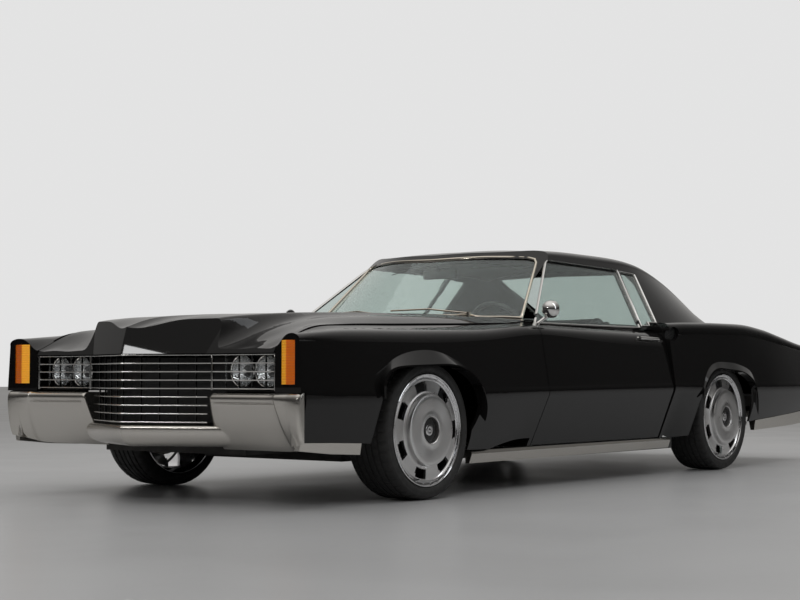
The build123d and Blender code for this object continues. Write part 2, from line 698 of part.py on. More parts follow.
def roof():
    shell = CABIN - CABIN_INNER
    shell = shell - FRONT.moved(Location((0, 0, CLEAR))) - REAR.moved(Location((0, 0, CLEAR)))
    shell = shell & box(-1, 1000, at(700), at(4400), BELT_Z - 30, 1400)
    shell = shell - window(DOOR_WINDOW, PANEL_GAP) - window(QUARTER_WINDOW, CLEAR)
    shell = shell - screen_window(CLEAR) - rear_window_cut(CLEAR)
    return both(largest(shell))


def seated(pane):
    """Glass with its lower edge trimmed to the panels that it stands on."""
    lift = Location((0, 0, CLEAR))
    above = box(-1, 1000, at(600), at(4400), BELT_Z - 24, 1300)
    return largest((pane & above) - FRONT.moved(lift) - REAR.moved(lift))


def panes():
    deep = GLASS_INSET + GLASS
    side_layer = greenhouse(GLASS_INSET) - greenhouse(deep)
    front_layer = (screen_block(GLASS_INSET) - screen_block(deep)) & greenhouse(SKIN)
    back_layer = side_prism(rear_glass_cut(-deep), -1, SAIL_INNER_X - 1)
    back_layer = back_layer - side_prism(rear_glass_cut(-GLASS_INSET), -2, SAIL_INNER_X)
    door_pane = seated(side_layer & window(DOOR_WINDOW))
    quarter_pane = seated(side_layer & window(QUARTER_WINDOW))
    screen = both(seated(front_layer & screen_window()))
    back = both(seated(back_layer & rear_window_cut()))
    return door_pane, quarter_pane, screen, back


# ---- wheels -------------------------------------------------------------------------
def turned(points, x):
    """Solid of revolution about an axle: (offset outwards, radius) points."""
    face = Face(Wire.make_polygon([Vector(a, 0, r) for a, r in points], close=True))
    return Pos(x, 0, 0) * Solid.revolve(face, 360, Axis.X)


def rim():
    """Left-hand rim about the origin, outer face towards +X."""
    h = RIM_WIDTH / 2
    r, wall = BARREL_RADIUS, BARREL_WALL
    face_x = h - DISC_SETBACK
    barrel = turned([
        (-h, RIM_RADIUS - 3), (-h + 6, RIM_RADIUS), (-h + 12, RIM_RADIUS - 4), (-h + 16, r), (h - 16, r),
        (h - 12, RIM_RADIUS - 4), (h - 6, RIM_RADIUS), (h, RIM_RADIUS - 3), (h, RIM_RADIUS - 12),
        (h - 8, r - wall), (-h + 8, r - wall), (-h, RIM_RADIUS - 12)], 0)
    disc = turned([
        (face_x - DISC_THICKNESS, 34), (face_x - 6, 34), (face_x + 2, CAP_RADIUS + 14), (face_x + 6, CAP_RADIUS + 22),
        (face_x, DISC_RADIUS), (face_x - 10, DISC_RADIUS + 6), (face_x - 12, r - wall + 2),
        (face_x - 12 - DISC_THICKNESS, r - wall + 2), (face_x - DISC_THICKNESS - 8, DISC_RADIUS)], 0)
    window_cut = Solid.extrude(Face(Wire.make_polygon([
        Vector(0, -30, DISC_RADIUS + 10), Vector(0, 30, DISC_RADIUS + 10),
        Vector(0, 40, r - wall - 8), Vector(0, -40, r - wall - 8)], close=True)), Vector(200, 0, 0))
    for i in range(WINDOW_COUNT):
        disc = disc - Rot(i * 360 / WINDOW_COUNT, 0, 0) * window_cut
    for i in range(BOLT_COUNT):
        hole = Pos(face_x, 0, 0) * Rot(0, 90, 0) * Cylinder(7.5, 80)
        disc = disc - Rot(i * 360 / BOLT_COUNT, 0, 0) * Pos(0, 0, BOLT_CIRCLE / 2) * hole
    cap = turned([(face_x - DISC_THICKNESS - 6, 0), (face_x - DISC_THICKNESS - 6, 40), (face_x - DISC_THICKNESS, 40),
                  (face_x - DISC_THICKNESS, 33), (face_x - 4, 33), (face_x + 2, 30), (face_x + 6, 20),
                  (face_x + 8, 0)], 0)
    return largest(barrel + disc + cap)


def tyre():
    h = TYRE_WIDTH / 2
    bead = RIM_WIDTH / 2 - 17
    inner = BARREL_RADIUS + CLEAR
    half = [
        (bead, inner), (bead - 1, RIM_RADIUS - 2), (h - 10, RIM_RADIUS + 2), (h - 2, RIM_RADIUS + 8),
        (h, RIM_RADIUS + 22), (h - 3, TYRE_RADIUS - 26), (h - 14, TYRE_RADIUS - 8), (h - 34, TYRE_RADIUS)]
    return turned([(-a, r) for a, r in half] + [(a, r) for a, r in reversed(half)], 0)


def wheel_set():
    rim_solid, tyre_solid = rim(), largest(tyre())
    places = (("front", WHEEL_X_FRONT, FRONT_AXLE_Y), ("rear", WHEEL_X_REAR, REAR_AXLE_Y))
    for end, x, y in places:
        for side, sign in (("left", 1), ("right", -1)):
            for piece, solid in (("rim", rim_solid), ("tyre", tyre_solid)):
                shape = solid if sign > 0 else flip(solid)
                save(f"{piece}_{end}_{side}", shape.moved(Location((sign * x, y, HUB_Z))))


# ---- running gear -------------------------------------------------------------------
POST_HALF = 105.0
ENGINE_LOW_Z = 310.0
DISC_BACK = RIM_WIDTH / 2 - DISC_SETBACK - DISC_THICKNESS - 6


def rod(start, end, radius):
    start, end = Vector(*start), Vector(*end)
    return Solid.make_cylinder(radius, (end - start).length, Plane(origin=start, z_dir=end - start))


def knuckle():
    """Left steered hub about its kingpin."""
    y, z = FRONT_AXLE_Y, HUB_Z
    face = WHEEL_X_FRONT + DISC_BACK - CLEAR
    hub = rod((KINGPIN_X - 20, y, z), (face, y, z), 34)
    flange = rod((face - 16, y, z), (face, y, z), 76)
    brake = rod((face - 44, y, z), (face - 20, y, z), 165)
    post = rod((KINGPIN_X, y, z - POST_HALF), (KINGPIN_X, y, z + POST_HALF), 22)
    return largest(hub + flange + brake + post)


RAIL_LOW_Z = 222.0
RAIL_HIGH_Z = 300.0
RAIL_FRONT = -729.0
RAIL_X = (380.0, 460.0)
SIDE_RAIL_X = (610.0, 690.0)
REAR_RAIL_X = (570.0, 636.0)
REAR_RAIL_Z = 372.0
UNDER_Z = 150.0
TRUNK_FLOOR_X = 640.0


def front_suspension():
    """Cross member below the rails with engine mounts and a lower arm each side."""
    y, z = FRONT_AXLE_Y, HUB_Z
    joint_z = z - POST_HALF - CLEAR
    shape = box(-RAIL_X[1], RAIL_X[1], y - 60, y + 60, 165, RAIL_LOW_Z - CLEAR)
    for sign in (1, -1):
        low = [(sign * 440, y - 58, 188), (sign * 762, y - 22, 188), (sign * 762, y + 22, 188), (sign * 440, y + 58, 188)]
        high = [(sign * 440, y - 58, 216), (sign * 762, y - 22, joint_z), (sign * 762, y + 22, joint_z),
                (sign * 440, y + 58, 216)]
        x0, x1 = sorted((sign * 160, sign * 250))
        shape = shape + ruled(low, high) + box(x0, x1, y - 40, y + 40, 200, ENGINE_LOW_Z - CLEAR)
    return shape


def rear_axle():
    """Beam axle with hub faces, brake drums and leaf springs with their hangers."""
    y, z = REAR_AXLE_Y, HUB_Z
    face = WHEEL_X_REAR + DISC_BACK - CLEAR
    shape = rod((-face, y, z), (face, y, z), 38)
    for sign in (1, -1):
        x0, x1 = sorted((sign * 500, sign * 556))
        shape = shape + rod((sign * (face - 16), y, z), (sign * face, y, z), 76)
        shape = shape + rod((sign * (face - 60), y, z), (sign * (face - 24), y, z), 140)
        shape = shape + box(x0, x1, y - 380, y + 620, z - 58, z - 30)
        shape = shape + box(x0, x1, y - 40, y + 40, z - 40, z + 6)
        shape = shape + box(x0, x1, y - 380, y - 352, z - 40, 368)
        shape = shape + box(x0, x1, y + 592, y + 620, z - 40, TRUNK_FLOOR_Z - CLEAR)
    return shape


def frame_rails():
    """Front rails and side rails in one piece, rear rails under the trunk floor."""
    x0, x1 = RAIL_X
    u0, u1 = SIDE_RAIL_X
    shape = box(-x1, x1, at(RAIL_FRONT), at(RAIL_FRONT + 40), RAIL_LOW_Z, RAIL_HIGH_Z)
    top = FLOOR_Z - CLEAR
    for sign in (1, -1):
        a0, a1 = sorted((sign * x0, sign * x1))
        b0, b1 = sorted((sign * u0, sign * u1))
        shape = shape + box(a0, a1, at(RAIL_FRONT), at(760), RAIL_LOW_Z, RAIL_HIGH_Z)
        shape = shape + box(a0, a1, at(660), at(760), UNDER_Z, RAIL_HIGH_Z)
        low = [(sign * x0, at(700), UNDER_Z), (sign * x1, at(700), UNDER_Z), (sign * u1, at(960), UNDER_Z),
               (sign * u0, at(960), UNDER_Z)]
        shape = shape + ruled(low, [(x, y, top) for x, y, _ in low])
        shape = shape + box(b0, b1, at(950), from_rear(-560), UNDER_Z, top)
    rear = box(-REAR_RAIL_X[1], REAR_RAIL_X[1], from_rear(1180), from_rear(1240), REAR_RAIL_Z, TRUNK_FLOOR_Z - CLEAR)
    for sign in (1, -1):
        c0, c1 = sorted((sign * REAR_RAIL_X[0], sign * REAR_RAIL_X[1]))
        rear = rear + box(c0, c1, from_rear(-300), from_rear(1240), REAR_RAIL_Z, TRUNK_FLOOR_Z - CLEAR)
    return shape, rear


ROCKER_INNER_X = 700.0
ROCKER_OUTER_X = 846.0


def floor_pan():
    """Cabin floor with its rockers, kicked up over the rear axle to the trunk."""
    t = FLOOR_THICKNESS
    x = DOOR_INNER_X - 10
    y0, y1, y2, y3 = at(FIREWALL), from_rear(-520), from_rear(-330), from_rear(LID_REAR - 42)
    shape = side_prism([(y0, FLOOR_Z), (y1, FLOOR_Z), (y1, FLOOR_Z + t), (y0, FLOOR_Z + t)], -x, x)
    shape = shape + side_prism([(y1 - 20, FLOOR_Z), (y1, FLOOR_Z), (y2, TRUNK_FLOOR_Z), (y3, TRUNK_FLOOR_Z),
                                (y3, TRUNK_FLOOR_Z + t), (y2 - 8, TRUNK_FLOOR_Z + t), (y1 - 20, FLOOR_Z + t)],
                               -TRUNK_FLOOR_X, TRUNK_FLOOR_X)
    for sign in (1, -1):
        x0, x1 = sorted((sign * ROCKER_INNER_X, sign * ROCKER_OUTER_X))
        shape = shape + box(x0, x1, at(DOOR_FRONT), y1, UNDER_Z, SILL_TOP_Z - 2)
    return shape


# ---- bumpers ------------------------------------------------------------------------
V_SWEEP = 0.437
BUMPER_ROUND = 8.0
NOSE_ROUND = 14.0
WING_X = 780.0
WING_OUTER_X = 957.0
GROOVE_Z = 457.0
GROOVE_S = -910.0
BUMPER_KEEP_X = 886.0


def rounded_bar(first, second, radii):
    """Bar ruled between two outlines of (x, s, z) points, each corner with its own radius."""
    wires = []
    for ring in (first, second):
        wires.append(FilletPolyline(*[Vector(x, at(s), z) for x, s, z in ring], radius=radii, close=True))
    return Solid.make_loft([Wire(w.edges()) for w in wires], True)


def front_bumper():
    """V-shaped centre bar, and a deep wing each side that ends in a blunt corner."""
    nose = [(-930, 356), (-1060, 356), (-1051, 312), (-1020, 274), (-975, 258), (-900, 258)]
    reach = 480.0
    centre = rounded_bar([(0, s, z) for s, z in nose], [(reach, s + V_SWEEP * reach, z) for s, z in nose],
                         [NOSE_ROUND] * len(nose))
    wing = [(-745, 502), (-893, 502), (-918, 477), (-912, 450), (-880, 366), (-826, 276), (-788, 245), (-745, 245)]
    end = [(-860, 505), (-922, 505), (-937, 485), (-938, 450), (-932, 391), (-922, 330), (-910, 286), (-860, 272)]
    inner = [(412 - 0.14 * (479 - z), s + 12, z) for s, z in wing]
    bevel = [(430 + 0.2 * (479 - z), s, z) for s, z in wing]
    knee = [(WING_X, s - 5, z) for s, z in wing]
    outer = [(WING_OUTER_X, s, z) for s, z in end]
    radii = [BUMPER_ROUND] * 5 + [0, 0] + [BUMPER_ROUND]
    shape = centre + rounded_bar(inner, bevel, radii) + rounded_bar(bevel, knee, radii)
    shape = shape + rounded_bar(knee, outer, radii)
    shape = shape - box(BUMPER_KEEP_X, 1100, at(BUMPER_END), at(-600), 0, 600)
    shape = shape - box(440, WING_X - 14, at(-940), at(GROOVE_S), GROOVE_Z, GROOVE_Z + 5)
    return both(largest(shape & box(0, 1100, at(-1200), at(RAIL_FRONT) - CLEAR, 0, 600)))


def lower_trim(places, x, low, high):
    """Satin strip along the bottom edge of a panel, ruled between stations."""
    shape = None
    rings = []
    for y, x_top, z_top, height in places:
        rings.append([(x_top - x, y, z_top), (x_top, y, z_top), (x_top - low, y, z_top - height),
                      (x_top - low - high, y, z_top - height)])
    for first, second in zip(rings, rings[1:]):
        piece = ruled(first, second)
        shape = piece if shape is None else shape + piece
    return shape


def fender_trim():
    places = [(at(s), smooth(ROCKER_X, s) + 4, smooth(ROCKER_Z, s) - 1, h)
              for s, h in ((BUMPER_END + CLEAR, 34), (-700, 48), (-508, 50))]
    return lower_trim(places, 40, 8, 24)


def rear_bumper():
    places = [(from_rear(r), smooth(R_ROCKER_X, r) + 4, smooth(R_ROCKER_Z, r) - 1, h)
              for r, h in ((398, 62), (700, 70), (1050, 80), (1400, 84), (1498, 84))]
    strip = lower_trim(places, 46, 10, 24)
    outline = [(1455, 286), (1490, 286), (1502, 300), (1503, 340), (1503, 356), (1455, 356)]
    end = ruled([(760, from_rear(r), z) for r, z in outline], [(870, from_rear(r), z - 4) for r, z in outline])
    lap = LID_REAR - 40 + TAIL_WALL + CLEAR
    mid = [(lap, 286), (1488, 286), (1500, 300), (1502, 400), (1490, 426), (lap, 426)]
    middle = ruled([(0, from_rear(r), z) for r, z in mid], [(TAIL_INSET_X - 4, from_rear(r), z) for r, z in mid])
    return both(strip + end + middle)


def sill_trim():
    """Satin trim under the door, a shallow channel against the rocker."""
    y0, y1 = at(420), at(2440)
    ring = [(846.5, 148), (870, 150), (886, 196), (880, 213), (846.5, 213)]
    return ruled([(x, y0, z) for x, z in ring], [(x, y1, z + 6 * (z < 200)) for x, z in ring])


# ---- grille and lamps ---------------------------------------------------------------
GRILLE_TOP_Z = 671.0
GRILLE_PITCH = 37.5
GRILLE_ROWS = 9
LAMP_ROWS = 5
GRILLE_NOSE = (0.0, -1055.0)
GRILLE_KNEE = (373.0, -884.0)
GRILLE_OUTER = (TIP_X - CLEAR, -882.0)
CELL_WIDTH = 79.2
CENTRE_CELLS = 4
LAMP_CELLS = 9
BAR_HEIGHT = 5.0
BAR_DEPTH = 18.0
SLAT_WIDTH = 2.6
SLAT_SETBACK = 6.0
SLAT_DEPTH = 9.0


def plan_bar(points, depth, z0, z1):
    """Bar that follows plan points (x, s) and is `depth` deep."""
    front = [(x, at(s)) for x, s in points]
    back = [(x, at(s) + depth) for x, s in reversed(points)]
    return plan_prism(front + back, z0, z1)


def grille_line(x):
    """Station of the grille's front edge at half width x."""
    (x0, s0), (x1, s1) = (GRILLE_NOSE, GRILLE_KNEE) if x < GRILLE_KNEE[0] else (GRILLE_KNEE, GRILLE_OUTER)
    return lerp(s0, s1, (x - x0) / (x1 - x0))


def grille():
    """V-shaped egg-crate of thin bars with a side wing before each pair of lamps."""
    shape = None
    for i in range(GRILLE_ROWS):
        z = GRILLE_TOP_Z - i * GRILLE_PITCH
        path = [GRILLE_NOSE, GRILLE_KNEE] + ([GRILLE_OUTER] if i < LAMP_ROWS else [])
        piece = plan_bar(path, BAR_DEPTH, z - BAR_HEIGHT / 2, z + BAR_HEIGHT / 2)
        shape = piece if shape is None else shape + piece
    for i in range(LAMP_CELLS + 1):
        x = i * CELL_WIDTH
        s = grille_line(x) + SLAT_SETBACK
        rows = GRILLE_ROWS if i <= CENTRE_CELLS else LAMP_ROWS
        low = GRILLE_TOP_Z - (rows - 1) * GRILLE_PITCH
        left = max(0, x - SLAT_WIDTH / 2)
        shape = shape + box(left, x + SLAT_WIDTH / 2, at(s), at(s + SLAT_DEPTH), low, GRILLE_TOP_Z)
    return both(shape)


LAMP_RADIUS = 72.0
LAMP_Z = 598.0
LAMP_XS = (529.0, 677.0)
LAMP_FRONT = -822.0
LAMP_DEPTH = 44.0


def headlamp(x):
    """Round lamp: a bowl with its clear front bulging forwards."""
    profile = [(0, -12), (LAMP_RADIUS * 0.6, -8), (LAMP_RADIUS - 6, 0), (LAMP_RADIUS, 0), (LAMP_RADIUS, LAMP_DEPTH / 2),
               (40, LAMP_DEPTH), (0, LAMP_DEPTH)]
    face = Face(Wire.make_polygon([Vector(r, a, 0) for r, a in profile], close=True))
    return Pos(x, at(LAMP_FRONT), LAMP_Z) * Solid.revolve(face, 360, Axis.Y)


def radiator_support():
    """Dark wall behind the grille that carries the lamps and the grille."""
    low, high = 366.0, 660.0
    seat_s = LAMP_FRONT + LAMP_DEPTH + CLEAR
    wall = plan_bar([(0, -905), (330, -800), (440, seat_s), (TIP_X - CLEAR, seat_s)], 14, low, high)
    wall = wall - box(396, 900, at(-1100), at(-600), 0, 508)
    core = box(0, 330, at(-745), at(-695), RAIL_HIGH_Z + CLEAR, high)
    plate = plan_prism([(0, at(-892)), (330, at(-790)), (330, at(-695)), (0, at(-695))], high - 12, high)
    stop = front_body(HOOD_THICKNESS + CLEAR) & box(180, 216, at(-760), at(-724), high - 4, 960)
    return both(wall + core + plate + stop)


def tail_lamp_pocket(grow=0.0):
    return box(806 - grow, 872 + grow, from_rear(1484) - grow, from_rear(1600), 420 - grow, 720 + grow)


# ---- inside -------------------------------------------------------------------------
def engine_block():
    return box(-330, 300, at(-330), at(560), ENGINE_LOW_Z, 780)


WHEEL_CENTRE = (380.0, 1400.0, 815.0)
WHEEL_RAKE = 25.0
STEERING_RADIUS = 190.0


def steering_wheel():
    x, s, z = WHEEL_CENTRE
    ring = Torus(STEERING_RADIUS - 13, 13)
    hub = Cylinder(42, 40)
    spokes = Box(2 * STEERING_RADIUS - 30, 44, 12) + Pos(0, -80, 0) * Box(40, 150, 12)
    wheel = ring + hub + spokes
    return Pos(x, at(s), z) * Rot(90 + WHEEL_RAKE, 0, 0) * wheel


def column():
    x, s, z = WHEEL_CENTRE
    axis = Vector(0, -math.cos(math.radians(WHEEL_RAKE)), -math.sin(math.radians(WHEEL_RAKE)))
    start = Vector(x, at(s), z) + axis * (20 + CLEAR)
    return Solid.make_cylinder(30, 190, Plane(origin=start, z_dir=axis))


def dashboard():
    y0, y1 = at(FIREWALL + 60 + CLEAR), at(1290)
    step = at(COWL_REAR + 4)
    profile = [(y0, 640), (y1 - 60, 600), (y1, 690), (y1 + 10, 800), (y1 - 30, 846), (step, 850), (step, 812), (y0, 812)]
    x = DOOR_INNER_X - 20
    return side_prism(profile, -x, x) + column()


def seat(x0, x1, s0, s1, base, top, back_top):
    """Seat cushion and leaning backrest over its base."""
    y0, y1 = at(s0), at(s1)
    profile = [(y0, base), (y0 - 10, top - 30), (y0 + 20, top), (y1 - 190, top - 40), (y1 - 130, back_top - 40),
               (y1 - 100, back_top), (y1 - 30, back_top), (y1, back_top - 60), (y1 - 40, base)]
    return side_prism(profile, x0, x1)


def front_seats():
    z = FLOOR_Z + FLOOR_THICKNESS + CLEAR
    left = seat(110, 650, 1640, 2240, z, 500, 1010)
    return left


def rear_seat():
    y0 = from_rear(-760)
    wall = from_rear(BULKHEAD)
    z = FLOOR_Z + FLOOR_THICKNESS + CLEAR
    deck = TRUNK_FLOOR_Z + FLOOR_THICKNESS + CLEAR
    profile = [(y0 + 20, z), (y0, 470), (y0 + 30, 500), (wall - 260, 462), (wall - 180, 850), (wall - 40, 866), (wall - 2, 850),
               (wall - 2, deck), (from_rear(-338) - 20, deck), (from_rear(-548), z)]
    return side_prism(profile, -620, 620)


def fuel_tank():
    return box(-290, 290, from_rear(330), from_rear(860), 262, TRUNK_FLOOR_Z - CLEAR)


def exhaust():
    """Twin pipes with a muffler each behind the rear axle, hung from the floor."""
    shape = None
    for sign in (1, -1):
        inner, x = sign * 250, sign * 400
        pipe = rod((inner, at(620), 164), (inner, from_rear(-440), 164), 22)
        rise = rod((inner, from_rear(-440), 164), (x, from_rear(-240), 232), 22)
        run = rod((x, from_rear(-240), 232), (x, from_rear(1380), 246), 22)
        muffler = box(x - 85, x + 85, from_rear(400), from_rear(960), 190, 330)
        hanger = box(x - 8, x + 8, from_rear(660), from_rear(700), 320, TRUNK_FLOOR_Z - CLEAR)
        piece = pipe + rise + run + muffler + hanger
        piece = piece + Pos(inner, from_rear(-440), 164) * Sphere(22) + Pos(x, from_rear(-240), 232) * Sphere(22)
        shape = piece if shape is None else shape + piece
    return shape


# ---- door hardware and wipers -------------------------------------------------------
HANDLE_S = (1978.0, 2179.0)
HANDLE_Z = 790.0
HANDLE_X = 948.0
HANDLE_RADIUS = 9.0
MIRROR_CENTRE = (915.0, 1092.0, 925.0)
MIRROR_RADIUS = 46.0


def handle():
    """Pull handle on two feet against the door skin."""
    y0, y1 = at(HANDLE_S[0]), at(HANDLE_S[1])
    grip = rod((HANDLE_X, y0, HANDLE_Z), (HANDLE_X, y1, HANDLE_Z), HANDLE_RADIUS)
    for y in (y0 + 14, y1 - 14):
        grip = grip + rod((905, y, HANDLE_Z), (HANDLE_X, y, HANDLE_Z), HANDLE_RADIUS - 1)
    return grip


def door_mirror():
    """Round mirror: a domed shell that faces forwards on a slim stalk."""
    x, s, z = MIRROR_CENTRE
    dome = Sphere(MIRROR_RADIUS) & Pos(0, -MIRROR_RADIUS / 2, 0) * Box(200, MIRROR_RADIUS, 200)
    head = Pos(x, at(s), z) * (dome + Pos(0, 8, 0) * Rot(90, 0, 0) * Cylinder(MIRROR_RADIUS, 16))
    stalk = rod((870, at(s - 62), 846), (x - 8, at(s), z - 30), 9)
    foot = rod((864, at(s - 74), 828), (870, at(s - 62), 850), 18)
    return head + stalk + foot


def wiper(x0, x1):
    """Arm and blade lying along the foot of the windshield."""
    def on_glass(x, z, off):
        t = (z - SCREEN_BASE_Z) / (SCREEN_TOP_Z - SCREEN_BASE_Z)
        reach = lerp(SCREEN_BASE[2], SCREEN_TOP[2], t)
        middle = lerp(SCREEN_BASE[0], SCREEN_TOP[0], t)
        corner = lerp(SCREEN_BASE[1], SCREEN_TOP[1], t)
        return (x, at(middle + (corner - middle) * (x / reach) ** 2 - off), z)
    pivot = on_glass(x0, 912, 34)
    elbow = on_glass(lerp(x0, x1, 0.5), 940, 20)
    tip = on_glass(x1, 936, 12)
    shape = rod(pivot, elbow, 5) + rod(elbow, tip, 5)
    shape = shape + rod((pivot[0], pivot[1], 870), (pivot[0], pivot[1], pivot[2] + 8), 11)
    return largest(shape - FRONT.moved(Location((0, 0, CLEAR))) - flip(FRONT).moved(Location((0, 0, CLEAR))))


def main():
    save("hood", hood())
    lens = corner_lens()
    save("corner_lamps", lens, flip(lens))
    save_pair("fender", fender())
    save("cowl", cowl())
    left_door = door()
    left_handle = largest(handle() - left_door)
    left_mirror = largest(door_mirror() - left_door)
    save_pair("door", left_door)
    save("door_hardware_left", left_handle, left_mirror)
    save("door_hardware_right", flip(left_handle))
    tail_lens = largest(REAR & tail_lamp_pocket())
    save("tail_lamps", tail_lens, flip(tail_lens))
    save_pair("quarter", largest(quarter() - tail_lamp_pocket(CLEAR)))
    save("rear_deck", rear_deck())
    save("trunk_lid", trunk_lid())
    save("tail_panel", tail_panel())
    save("roof", roof())
    door_pane, quarter_pane, screen, back = panes()
    save_pair("door_glass", door_pane)
    save("fixed_glass", quarter_pane, flip(quarter_pane), screen, back)
    wheel_set()
    save_pair("knuckle", knuckle())
    save("front_suspension", front_suspension())
    save("rear_axle", rear_axle())
    save("floor_pan", floor_pan())
    save("frame_rails", *frame_rails())
    bumper = front_bumper()
    save("front_bumper", bumper)
    trim, sill = fender_trim(), sill_trim()
    save("lower_trims", trim, flip(trim), sill, flip(sill))
    save("rear_bumper", rear_bumper())
    save("grille", grille())
    lamps = [headlamp(x) for x in LAMP_XS]
    save("headlamps", *lamps, *[flip(lamp) for lamp in lamps])
    save("radiator_support", radiator_support())
    save("engine_block", engine_block())
    save("dashboard", dashboard())
    save("steering_wheel", steering_wheel())
    left_seat = front_seats()
    save("front_seats", left_seat, flip(left_seat))
    save("rear_seat", rear_seat())
    save("fuel_tank", fuel_tank())
    save("exhaust", exhaust())
    save("wipers", wiper(455, -40), wiper(-60, -560))


main()
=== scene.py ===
import math

import bmesh
import bpy
import numpy as np
from mathutils import Matrix, Vector


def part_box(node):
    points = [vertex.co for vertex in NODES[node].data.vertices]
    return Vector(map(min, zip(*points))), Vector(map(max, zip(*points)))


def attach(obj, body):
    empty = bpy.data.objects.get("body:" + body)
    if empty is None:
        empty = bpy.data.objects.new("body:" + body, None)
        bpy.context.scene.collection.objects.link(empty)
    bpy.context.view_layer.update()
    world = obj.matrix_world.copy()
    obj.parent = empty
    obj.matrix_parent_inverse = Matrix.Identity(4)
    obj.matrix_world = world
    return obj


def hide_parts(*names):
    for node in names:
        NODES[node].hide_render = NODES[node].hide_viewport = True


# %% [markdown]
# # A luxury coupe, dressed in Blender
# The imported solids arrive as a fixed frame: every panel, wheel and seat is already at its
# real size and place, in metres, with +X to the car's left, -Y forward and +Z up. This
# lesson gives each of them a finish, and builds the parts that solids alone leave plain.

# %% Load the frame
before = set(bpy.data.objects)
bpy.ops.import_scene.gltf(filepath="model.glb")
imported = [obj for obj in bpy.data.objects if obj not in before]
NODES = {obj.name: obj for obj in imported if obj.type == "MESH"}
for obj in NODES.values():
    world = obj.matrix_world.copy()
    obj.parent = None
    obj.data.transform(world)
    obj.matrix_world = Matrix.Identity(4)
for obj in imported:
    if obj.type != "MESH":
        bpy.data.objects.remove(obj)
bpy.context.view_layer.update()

# %% [markdown]
# ## Where things are
# A car's drawings are read in stations: distances behind the front axle. Two small helpers
# turn a station, or a distance from the rear axle, into the frame's Y. Wheel hubs come from
# the tyres' own boxes, so that nothing has to be fitted by eye.

# %% Stations and hubs
WHEELS = {}
for end in ("front", "rear"):
    for side in ("left", "right"):
        low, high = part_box(f"tyre_{end}_{side}")
        WHEELS[f"{end}_{side}"] = (Vector(low) + Vector(high)) / 2
AXLE_Y = WHEELS["front_left"].y
REAR_Y = WHEELS["rear_left"].y
SIDES = (("left", 1), ("right", -1))


def at(station):
    return AXLE_Y + station


def behind(distance):
    return REAR_Y + distance


print("hubs at", {name: [round(v, 3) for v in hub] for name, hub in WHEELS.items()})

# %% [markdown]
# ## Camera
# A long lens, low beside the car, looks at its left front corner and slightly upwards. The
# long lens keeps the hood's and the roof's lines calm, as in a studio.

# %% Camera
CAMERA_PLACE = (5.388, -7.692, 0.580)
CAMERA_YAW = 0.6604
CAMERA_PITCH = 0.0473
camera_data = bpy.data.cameras.new("camera")
camera_data.lens = 71.6
camera = bpy.data.objects.new("camera", camera_data)
camera.location = CAMERA_PLACE
camera.rotation_euler = (math.pi / 2 + CAMERA_PITCH, 0, CAMERA_YAW)
bpy.context.scene.collection.objects.link(camera)
bpy.context.scene.camera = camera
bpy.context.scene.view_settings.view_transform = "Standard"
print("ready: camera")

# %% [markdown]
# ## Node trees in a few words
# A finish is a small tree of shader nodes. These helpers keep the trees short: one makes a
# material and hands back its Principled shader, the others add a texture, a colour ramp
# or a bump and join them up.

# %% Material helpers
def new_material(name, color, roughness, metallic=0.0, **sockets):
    material = bpy.data.materials.new(name)
    material.use_nodes = True
    tree = material.node_tree
    shader = tree.nodes["Principled BSDF"]
    shader.inputs["Base Color"].default_value = (*color, 1)
    shader.inputs["Roughness"].default_value = roughness
    shader.inputs["Metallic"].default_value = metallic
    for key, value in sockets.items():
        shader.inputs[key.replace("_", " ").title().replace("Ior", "IOR")].default_value = value
    return material, tree, shader


def add(tree, kind, **values):
    node = tree.nodes.new(kind)
    for key, value in values.items():
        if key in node.inputs:
            node.inputs[key].default_value = value
        else:
            setattr(node, key, value)
    return node


def object_noise(tree, scale, detail=3.0, stretch=(1, 1, 1)):
    """Noise that is fixed to the piece: object coordinates, stretched if asked."""
    place = add(tree, "ShaderNodeTexCoord")
    mapping = add(tree, "ShaderNodeMapping")
    mapping.inputs["Scale"].default_value = stretch
    noise = add(tree, "ShaderNodeTexNoise", Scale=scale, Detail=detail)
    tree.links.new(place.outputs["Object"], mapping.inputs["Vector"])
    tree.links.new(mapping.outputs["Vector"], noise.inputs["Vector"])
    return noise


def vary(tree, shader, socket, noise, low, high):
    """Spread a shader value between low and high by a noise."""
    spread = add(tree, "ShaderNodeMapRange")
    spread.inputs["From Min"].default_value = 0.3
    spread.inputs["From Max"].default_value = 0.7
    spread.inputs["To Min"].default_value = low
    spread.inputs["To Max"].default_value = high
    tree.links.new(noise.outputs["Fac"], spread.inputs["Value"])
    tree.links.new(spread.outputs["Result"], shader.inputs[socket])


def tint(tree, shader, noise, first, second):
    """Spread the base colour between two colours by a noise."""
    mix = add(tree, "ShaderNodeMix", data_type="RGBA")
    mix.inputs["A"].default_value = (*first, 1)
    mix.inputs["B"].default_value = (*second, 1)
    tree.links.new(noise.outputs["Fac"], mix.inputs["Factor"])
    tree.links.new(mix.outputs["Result"], shader.inputs["Base Color"])


def bump(tree, shader, noise, strength, distance=0.001, output="Fac"):
    node = add(tree, "ShaderNodeBump", Strength=strength, Distance=distance)
    tree.links.new(noise.outputs[output], node.inputs["Height"])
    tree.links.new(node.outputs["Normal"], shader.inputs["Normal"])


def give(material, *nodes):
    """Put a finish on CAD nodes."""
    for name in nodes:
        mesh = NODES[name].data
        mesh.materials.clear()
        mesh.materials.append(material)
print("ready: material helpers")


# %% [markdown]
# ## Black paint
# The body is deep gloss black: a near-black base under a thick clear coat. Almost all that
# is seen on it is the room, so the base stays dark and the coat does the work. A trace of
# fine flake and a very faint variation of the base keep it from looking like plastic.

